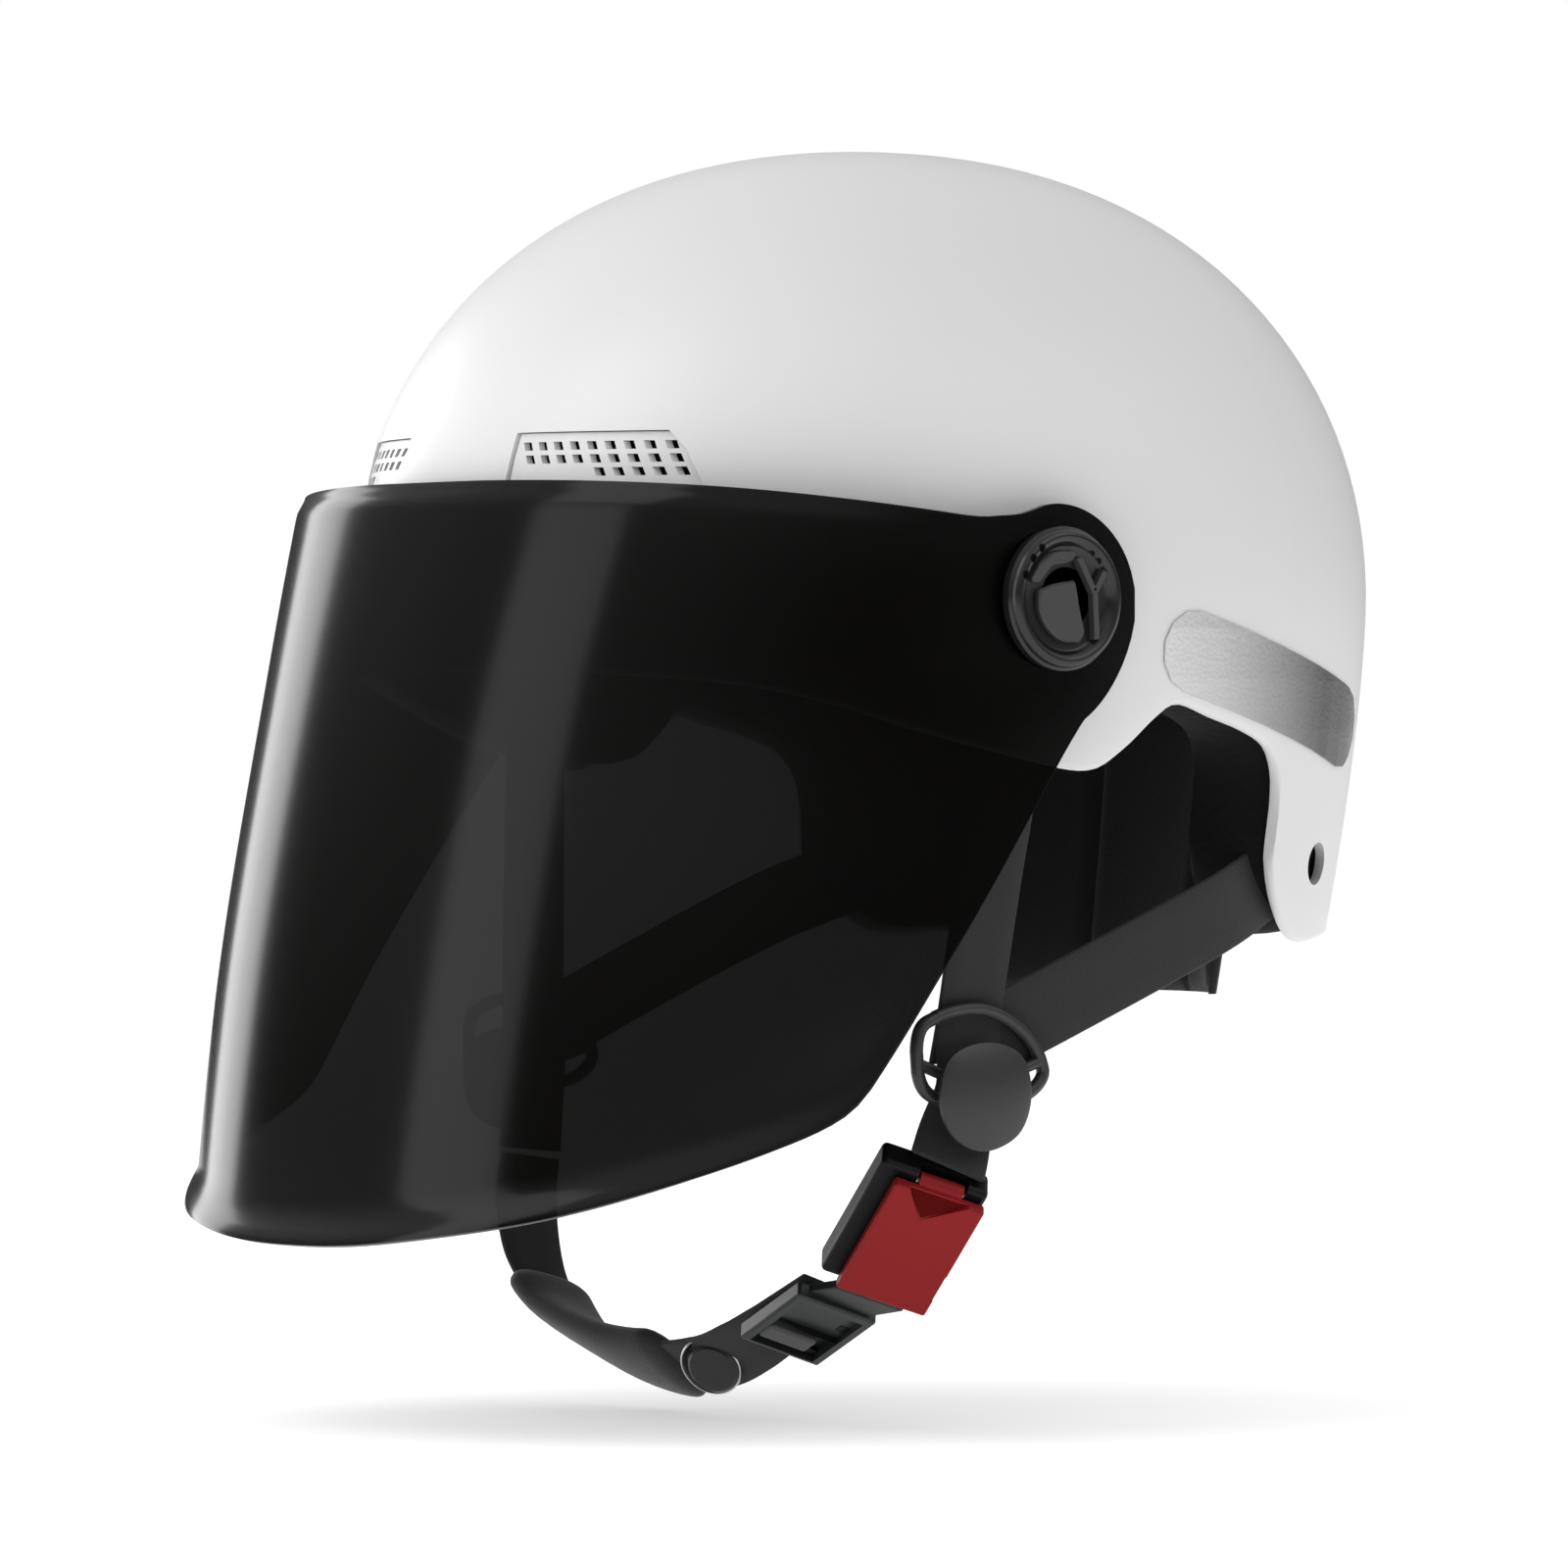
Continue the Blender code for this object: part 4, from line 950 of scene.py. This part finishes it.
YOKE_OUTLINE = [
    (-0.0590, -0.1990),
    (-0.0560, -0.1875),
    (-0.0380, -0.1835),
    (-0.0230, -0.1895),
    (-0.0153, -0.2010),
    (-0.0220, -0.2085),
    (-0.0370, -0.2105),
    (-0.0540, -0.2080),
]
TAB_OUTLINE = [
    (-0.0400, -0.1935),
    (-0.0290, -0.1970),
    (-0.0259, -0.2070),
    (-0.0300, -0.2165),
    (-0.0410, -0.2205),
    (-0.0510, -0.2165),
    (-0.0548, -0.2070),
    (-0.0515, -0.1970),
]
YOKE_BARS = (((-0.0575, -0.1985), (-0.0505, -0.2010)), ((-0.0175, -0.1985), (-0.0255, -0.2010)))
YOKE_MIDDLE_X = 0.0936
YOKE_TUBE = 0.0017
TAB_INNER_X = 0.0988
TAB_EDGE_X = 0.1000
TAB_DOME = 0.0022


def tube_loop(bm, outline, x, radius, segments=12):
    """A round bar bent along a closed (Y, Z) outline, kept inside it."""
    count = len(outline)
    centre = sum(outline, Vector((0, 0))) / count
    rings = []
    for i, spot in enumerate(outline):
        along = (outline[(i + 1) % count] - outline[i - 1]).normalized()
        normal = Vector((along.y, -along.x))
        if normal.dot(spot - centre) < 0:
            normal = -normal
        middle = spot - normal * radius
        ring = []
        for k in range(segments):
            turn = 2 * math.pi * k / segments
            flat = middle + normal * (radius * math.cos(turn))
            ring.append(bm.verts.new((x + radius * math.sin(turn), flat.x, flat.y)))
        rings.append(ring)
    ring_strip(bm, rings + rings[:1], True)


def make_yoke_ring(side, word):
    """A bent bar around the straps' joint, with two short bars that reach in to the tab."""
    bm = bmesh.new()
    x = side * YOKE_MIDDLE_X
    tube_loop(bm, smooth_loop(YOKE_OUTLINE, 96), x, YOKE_TUBE)
    for start, end in YOKE_BARS:
        cylinder_between(bm, (x, *start), (x, *end), YOKE_TUBE * 0.9, 12)
    add_piece(f"yoke_{word}", even_faces(bm), BLACK, "black_plastic", "helmet", f"yoke_ring_{word}")


def make_tab(side, word):
    """A domed disc over the yoke."""
    bm = bmesh.new()
    loop = smooth_loop(TAB_OUTLINE, 64)
    centre = sum(loop, Vector((0, 0))) / len(loop)
    levels = [(0.96, TAB_INNER_X), (1.0, TAB_INNER_X + 0.0003), (1.0, TAB_EDGE_X)]
    for step in range(1, 12):
        share = math.cos(step / 12 * math.pi / 2)
        levels.append((share, TAB_EDGE_X + TAB_DOME * (1 - share**2) ** 0.8))
    rings = []
    for share, x in levels:
        rings.append([bm.verts.new((side * x, *(centre + (p - centre) * share))) for p in loop])
    capped_strip(bm, rings)
    add_piece(f"tab_{word}", even_faces(bm), BLACK, "black_plastic", "helmet", f"yoke_tab_{word}")


def make_yokes():
    for side, word in SIDES:
        make_yoke_ring(side, word)
        make_tab(side, word)


# ---------------------------------------------------------------- buckle

BUCKLE_CENTRE = Vector((0.0828, -0.0500, -0.2419))
BUCKLE_ALONG = Vector((-0.700, 0.050, -0.712)).normalized()
BUCKLE_ACROSS = Vector((0.390, 0.863, -0.320)).normalized()
BUCKLE_OUT = BUCKLE_ALONG.cross(BUCKLE_ACROSS).normalized()
LOCK_CENTRE = Vector((0.0404, -0.0495, -0.2647))
LOCK_ALONG = Vector((-0.897, 0.0, -0.443)).normalized()
LOCK_ACROSS = Vector((0.163, 0.930, -0.330)).normalized()
LOCK_OUT = LOCK_ALONG.cross(LOCK_ACROSS).normalized()
PIN_ALONG = -0.0164
PIN_OUT = -0.0012
PIN_RADIUS = 0.001
PIN_HALF_LENGTH = 0.0105
BARREL_RADIUS = 0.0026
BARREL_HALF_LENGTH = 0.0058
LEVER_LEVELS = (0.0005, 0.0039)
LEVER_HALF_WIDTH = 0.0120
LEVER_ENDS = (-0.0172, 0.0202)
FACET_CUT = [(-0.0177, -0.0085), (-0.0177, 0.0085), (-0.0087, -0.0020)]
FACET_FLOOR = [(-0.0168, -0.0082), (-0.0168, 0.0082), (-0.0098, -0.0020)]
FACET_DROPS = (0.0016, 0.0016, 0.0)
HOUSING_CORNERS = ((-0.0200, -0.0165, -0.0082), (0.0200, 0.0120, 0.0))
HOUSING_NOTCH = ((-0.0246, -0.0065, -0.0045), (-0.0122, 0.0065, 0.0041))
HOUSING_MOUTH = ((0.0060, -0.0098, -0.0066), (0.0240, 0.0098, 0.0))
LOCK_FRAME = ((-0.0135, -0.01175, -0.0016), (0.0135, 0.01175, 0.0030))
LOCK_RECESSES = (
    ((-0.0108, -0.0094, 0.0012), (0.0010, 0.0094, 0.006)),
    ((0.0010, -0.0094, -0.0004), (0.0122, 0.0094, 0.006)),
)
# Near-black blocks in the corners of the lock's recesses, painted shade: start along, low and high across
LOCK_SHADE_BLOCKS = ((-0.0108, -0.0094, -0.0070), (-0.0050, 0.0066, 0.0094), (0.0094, 0.0052, 0.0094))
LOCK_SHADE_LENGTH = 0.0030
GRIP_BAR = ((0.0030, -0.0092, -0.0002), (0.0092, 0.0050, 0.0034))
BLADE_OUT = -0.0050
BLADE = ((0.0130, -0.0070, BLADE_OUT - 0.0009), (0.0275, 0.0070, BLADE_OUT + 0.0009))
NECK_HALF_WIDTH = 0.0095
NECK_HALF_THICKNESS = 0.0013


def buckle_spot(along, across, out):
    return BUCKLE_CENTRE + BUCKLE_ALONG * along + BUCKLE_ACROSS * across + BUCKLE_OUT * out


def lock_spot(along, across, out):
    return LOCK_CENTRE + LOCK_ALONG * along + LOCK_ACROSS * across + LOCK_OUT * out


def block(bm, spot, low, high):
    """A box between two corners given along, across and out of a fitting."""
    made = bmesh.ops.create_cube(bm, size=1.0)
    for vertex in made["verts"]:
        shares = [c + 0.5 for c in vertex.co]
        vertex.co = spot(*(a + (b - a) * t for a, b, t in zip(low, high, shares)))


def round_block(name, spot, low, high, width, look, slot, body, *replaced):
    bm = bmesh.new()
    block(bm, spot, low, high)
    obj = add_piece(name, even_faces(bm), look, slot, body, *replaced)
    bevel(obj, width, 4)
    return obj


def cut_block(obj, spot, low, high):
    bm = bmesh.new()
    block(bm, spot, low, high)
    combine(obj, cutter(f"{obj.name}_cut", bm))


def wedge(corners, upper, lower):
    """A three-sided body over corners along and across the buckle, between two sets of heights out of it."""
    bm = bmesh.new()
    rows = []
    for heights in (upper, lower):
        rows.append([bm.verts.new(buckle_spot(a, w, out)) for (a, w), out in zip(corners, heights)])
    capped_strip(bm, rows)
    return bm


def make_lever():
    """The red lever: a bevelled plate with a sunk thumb facet at its hinge end, whose floor is painted darker
    red as shade, and a barrel on the pin.
    """
    low, high = LEVER_LEVELS
    start, end = LEVER_ENDS
    body = ("red_plastic", "buckle_lever")
    corners = (start, -LEVER_HALF_WIDTH, low), (end, LEVER_HALF_WIDTH, high)
    lever = round_block("lever", buckle_spot, *corners, 0.0007, RED, *body, "buckle_lever")
    slope = [high - drop for drop in FACET_DROPS]
    combine(lever, cutter("thumb_facet", wedge(FACET_CUT, [high + 0.004] * 3, slope)))
    # the facet's floor gets the darker red, painted shade where the sunk facet tilts away from the light
    floor = wedge(FACET_FLOOR, [out + 0.0002 for out in slope], [out - 0.0006 for out in slope])
    add_piece("thumb_facet_floor", even_faces(floor), RED_PAINTED_SHADE, *body)
    cut_block(lever, buckle_spot, (0.0060, 0.0113, high - 0.0012), (0.0150, 0.0125, high + 0.001))
    bm = bmesh.new()
    ends = [buckle_spot(PIN_ALONG, side * BARREL_HALF_LENGTH, PIN_OUT) for side in (-1, 1)]
    cylinder_between(bm, *ends, BARREL_RADIUS)
    add_piece("lever_barrel", even_faces(bm), RED, *body)


def make_housing():
    """The buckle's black housing, open at its mouth and notched for the lever's barrel, and the hinge pin."""
    names = ("black_plastic", "helmet", "buckle_housing")
    housing = round_block("housing", buckle_spot, *HOUSING_CORNERS, 0.0014, DEEP_BLACK, *names)
    cut_block(housing, buckle_spot, *HOUSING_NOTCH)
    cut_block(housing, buckle_spot, *HOUSING_MOUTH)
    bm = bmesh.new()
    ends = [buckle_spot(PIN_ALONG, side * PIN_HALF_LENGTH, PIN_OUT) for side in (-1, 1)]
    cylinder_between(bm, *ends, PIN_RADIUS, 20)
    add_piece("hinge_pin", even_faces(bm), STEEL, "steel", "helmet", "lever_pin")


def make_ladder_lock():
    """The tongue's frame: two recesses, near-black blocks in their corners as painted shade, and a raised
    grip bar.
    """
    body = ("frame_plastic", "chin_strap")
    lock = round_block("ladder_lock", lock_spot, *LOCK_FRAME, 0.0008, DARK_FRAME, *body, "buckle_tongue")
    for corners in LOCK_RECESSES:
        cut_block(lock, lock_spot, *corners)
    # near-black blocks laid in the recess corners: painted shade
    for index, (start, low, high) in enumerate(LOCK_SHADE_BLOCKS):
        corners = (start, low, 0.0006), (start + LOCK_SHADE_LENGTH, high, 0.0014)
        round_block(f"lock_corner_{index}", lock_spot, *corners, 0.0002, DEEP_BLACK, *body)
    round_block("lock_grip_bar", lock_spot, *GRIP_BAR, 0.0010, BAR_GREY, *body)


def make_tongue():
    """The blade that runs into the housing, and the neck between it and the ladder lock."""
    body = ("frame_plastic", "chin_strap")
    round_block("tongue_blade", buckle_spot, *BLADE, 0.0003, DARK_FRAME, *body)
    start, end = buckle_spot(0.0262, 0, BLADE_OUT), lock_spot(-0.0125, 0, 0)
    along = (end - start).normalized()
    across = (BUCKLE_ACROSS + LOCK_ACROSS).normalized()
    normal = along.cross(across).normalized()

    def neck_spot(a, w, o):
        return start + along * a + across * w + normal * o

    low = (0.0, -NECK_HALF_WIDTH, -NECK_HALF_THICKNESS)
    high = ((end - start).length, NECK_HALF_WIDTH, NECK_HALF_THICKNESS)
    round_block("tongue_neck", neck_spot, low, high, 0.0005, DARK_FRAME, *body)


# ---------------------------------------------------------------- snap

SNAP_TURN = Vector((0.527, -0.663, -0.0425))
SNAP_BASE_DEPTH = 0.0022
SNAP_CAP = [
    (-0.0020, 0.0060),
    (0.0012, 0.0070),
    (0.0026, 0.0070),
    (0.0034, 0.0062),
    (0.0036, 0.0040),
    (0.0034, 0.0010),
]
SNAP_RIM = [(-0.0012, 0.0074), (0.0004, 0.0084), (0.0014, 0.0083), (0.0018, 0.0078), (0.0008, 0.0070)]
RIM_SHIFT = Vector((-0.0007, -0.0009, 0.0))


def make_snap():
    """The snap's button and its ring, which face out of the strap and a little towards the front."""
    pairs = station_curve(CHIN_STRAP, 400)
    low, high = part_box("snap_cap")
    centre = (Vector(low) + Vector(high)) / 2
    nearest = min(range(1, 399), key=lambda i: (pairs[i][0] - centre).length)
    point, wide = pairs[nearest]
    along = (pairs[nearest + 1][0] - pairs[nearest - 1][0]).normalized()
    out = wide.cross(along).normalized()
    if out.dot(centre - point) < 0:
        out = -out
    out = (out + SNAP_TURN).normalized()
    base = centre - out * SNAP_BASE_DEPTH
    axes = out.to_track_quat("Z", "Y").to_matrix().col
    bm = bmesh.new()
    turned(bm, base, axes, SNAP_CAP, 56)
    add_piece("snap_button", even_faces(bm), SNAP_BLACK, "black_plastic", "chin_strap", "snap_cap")
    bm = bmesh.new()
    turned(bm, base + RIM_SHIFT, axes, SNAP_RIM, 56, capped=False)
    add_piece("snap_ring", even_faces(bm), STEEL, "steel", "chin_strap", "snap_rim")


# ---------------------------------------------------------------- pads

PAD_BACK = PAD_DEPTH + 0.0002
CROWN_REACH = 0.375
CROWN_RING = 0.52
CROWN_SPOKES = 6
CHIN_PAD_SIZE = (0.0270, 0.0080)


def pad_profile(t, edge):
    """0 at an end, rising in a round shoulder to 1 a given share of the way in."""
    near = min(t, 1 - t) / edge
    return 1.0 if near >= 1 else math.sqrt(max(1 - (1 - near) ** 2, 0.0))


def pad_depth(swell, seam):
    """How far inside the shell the front of a pad lies where it is swollen and sewn by these shares."""
    return PAD_BACK + PAD_THICKNESS * (0.25 + 0.75 * swell * seam)


def head_pad(name, node, around, down, channels, columns=72, rows=30):
    """A foam pad under the liner, flat on its back, crowned in front and sewn in channels."""
    bm = bmesh.new()
    rings = []
    path = [(column, True) for column in range(columns + 1)]
    path += [(column, False) for column in range(columns - 1, 0, -1)]
    for row in range(rows + 1):
        t = row / rows
        ring = []
        for column, front in path:
            s = column / columns
            seam = 1 - sum(0.55 * math.exp(-(((s - at) / 0.016) ** 2)) for at in channels)
            depth = pad_depth(pad_profile(s, 0.10) * pad_profile(t, 0.22), seam) if front else PAD_BACK
            angle = math.radians(around[0] + s * (around[1] - around[0]))
            ring.append(bm.verts.new(Bowl(depth).point(angle, down[0] + t * (down[1] - down[0]))))
        rings.append(ring)
    capped_strip(bm, rings)
    bmesh.ops.triangulate(bm, faces=[face for face in bm.faces if len(face.verts) > 4])
    pad = add_piece(name, even_faces(bm), PAD_CLOTH, "comfort_fabric", "helmet", node, smooth_angle=60)


def crown_depth(t, share):
    """Depth of the crown pad's front at a share of the way out and of the way round."""
    seam = 1 - 0.5 * math.exp(-(((t - CROWN_RING) / 0.035) ** 2))
    if t > CROWN_RING:
        spoke = abs((share * CROWN_SPOKES) % 1 - 0.5)
        seam -= 0.45 * math.exp(-((spoke / 0.035) ** 2))
    return pad_depth(pad_profile(0.5 + t / 2, 0.14), seam)


def crown_cushion(columns=72, rows=22):
    """The round pad at the top of the liner, quilted in rings and spokes."""
    bm = bmesh.new()
    rims = []
    for front in (True, False):
        rings = []
        for row in range(1, rows + 1):
            t = row / rows
            ring = []
            for column in range(columns):
                depth = crown_depth(t, column / columns) if front else PAD_BACK
                spot = Bowl(depth).point(2 * math.pi * column / columns, CROWN_REACH * t)
                ring.append(bm.verts.new(spot))
            rings.append(ring)
        ring_strip(bm, rings, True)
        top = bm.verts.new(Bowl(PAD_BACK + (PAD_THICKNESS if front else 0.0)).point(0, 0))
        for i, vertex in enumerate(rings[0]):
            bm.faces.new((top, rings[0][(i + 1) % columns], vertex))
        rims.append(rings[-1])
    ring_strip(bm, rims, True)
    names = ("comfort_fabric", "helmet", "crown_pad")
    pad = add_piece("crown_cushion", even_faces(bm), PAD_CLOTH, *names, smooth_angle=60)


def rounded_square(count, power):
    """Points of a closed outline from -1 to 1, between a circle and a square."""
    turns = [2 * math.pi * i / count for i in range(count)]
    return [
        tuple(math.copysign(abs(wave) ** power, wave) for wave in (math.cos(turn), math.sin(turn)))
        for turn in turns
    ]


def make_pads():
    crown_cushion()
    head_pad("brow_cushion", "brow_pad", (-52, 52), (0.82, 1.055), (0.25, 0.5, 0.75))
    head_pad("side_cushion_left", "side_pad_left", (58, 136), (0.60, 1.085), (0.5,))
    head_pad("side_cushion_right", "side_pad_right", (-58, -136), (0.60, 1.085), (0.5,))
    head_pad("nape_cushion", "nape_pad", (138, 222), (1.10, 1.52), (0.33, 0.67))
    section = rounded_square(32, 0.8)
    bm = swept(CHIN_PAD, *CHIN_PAD_SIZE, 60, section, ends=lambda t: pad_profile(t, 0.10))
    pad = add_piece("chin_cushion", bm, CLOTH, "comfort_fabric", "chin_strap", "chin_pad", smooth_angle=60)


# ---------------------------------------------------------------- stage

CAMERA_AZIMUTH = math.radians(52)
TO_CAMERA = Vector((math.sin(CAMERA_AZIMUTH), -math.cos(CAMERA_AZIMUTH), 0))
CAMERA_TARGET = Vector((-0.0125, -0.016, -0.1296))
CAMERA_DISTANCE = 2.5
CAMERA_LENS = 222.5
FLOOR_Z = -0.2905
AMBIENT = 0.72
DOME_LOW = 0.09
DOME_STOPS = (0.10, 0.55)
FLOOR_GLOW = 0.45
FLOOR_HALF_SIZE = 6


def look_at(obj, target):
    obj.rotation_euler = (Vector(target) - obj.location).to_track_quat("-Z", "Y").to_euler()


def area_light(name, place, target, size, power):
    data = bpy.data.lights.new(name, "AREA")
    data.shape = "RECTANGLE"
    data.size, data.size_y = size
    data.energy = power
    light = bpy.data.objects.new(name, data)
    bpy.context.scene.collection.objects.link(light)
    light.location = place
    look_at(light, target)


def make_floor():
    half = FLOOR_HALF_SIZE
    mesh = bpy.data.meshes.new("floor")
    corners = [(x, y, FLOOR_Z) for x, y in ((-half, -half), (half, -half), (half, half), (-half, half))]
    mesh.from_pydata(corners, [], [(0, 1, 2, 3)])
    floor = bpy.data.objects.new("floor", mesh)
    bpy.context.scene.collection.objects.link(floor)
    pale = new_material("pale_floor", (0.9, 0.9, 0.9, 1), 0.8, Emission_Color=(1, 1, 1, 1))
    pale.node_tree.nodes["Principled BSDF"].inputs["Emission Strength"].default_value = FLOOR_GLOW
    mesh.materials.append(pale)


def make_world():
    """A soft dome that is darker below lights the helmet, and the camera sees plain white behind it."""
    world = bpy.data.worlds.new("studio")
    bpy.context.scene.world = world
    world.use_nodes = True
    tree = world.node_tree
    lit = tree.nodes["Background"]
    lit.inputs["Strength"].default_value = AMBIENT
    split = add_node(tree, "SeparateXYZ", Vector=add_node(tree, "TexCoord").outputs["Generated"])
    dome = add_node(tree, "ValToRGB", Fac=split.outputs["Z"])
    for stop, position, level in zip(dome.color_ramp.elements, DOME_STOPS, (DOME_LOW, 1.0)):
        stop.position = position
        stop.color = (level, level, level, 1)
    tree.links.new(dome.outputs["Color"], lit.inputs["Color"])
    seen = add_node(tree, "Background", Color=(1, 1, 1, 1))
    mix = add_node(tree, "MixShader", Fac=add_node(tree, "LightPath").outputs["Is Camera Ray"])
    tree.links.new(lit.outputs[0], mix.inputs[1])
    tree.links.new(seen.outputs[0], mix.inputs[2])
    tree.links.new(mix.outputs[0], tree.nodes["World Output"].inputs["Surface"])


def make_lights():
    """Soft lights placed as the camera sees them: to its right, up, and towards it."""
    right = Vector((math.cos(CAMERA_AZIMUTH), math.sin(CAMERA_AZIMUTH), 0))
    up = Vector((0, 0, 1))
    crown, middle = (0, 0, -0.1), (0, 0, -0.14)
    area_light("key", TO_CAMERA * 0.9 - right * 1.6 + up * 1.7, crown, (1.4, 1.4), 12)
    area_light("edge_strip", -right * 1.15 - TO_CAMERA * 1.1 - up * 0.1, middle, (0.60, 1.6), 13.5)
    area_light("soft_band", -right * 1.45 + TO_CAMERA * 0.75 - up * 0.1, middle, (0.85, 1.6), 9)
    area_light("fill", right * 1.6 + TO_CAMERA * 0.7 + up * 1.0, crown, (1.2, 1.2), 4)


def make_camera():
    data = bpy.data.cameras.new("camera")
    data.lens = CAMERA_LENS
    data.sensor_width = 36
    camera = bpy.data.objects.new("camera", data)
    bpy.context.scene.collection.objects.link(camera)
    camera.location = CAMERA_TARGET + TO_CAMERA * CAMERA_DISTANCE
    look_at(camera, CAMERA_TARGET)
    bpy.context.scene.camera = camera


def make_stage():
    make_floor()
    make_world()
    make_lights()
    make_camera()
    bpy.context.scene.view_settings.view_transform = "Standard"


dress_nodes()
make_shell()
make_liner()
make_visor()
make_caps()
make_straps()
make_yokes()
make_housing()
make_lever()
make_ladder_lock()
make_tongue()
make_snap()
make_pads()
make_stage()

bpy.context.view_layer.update()
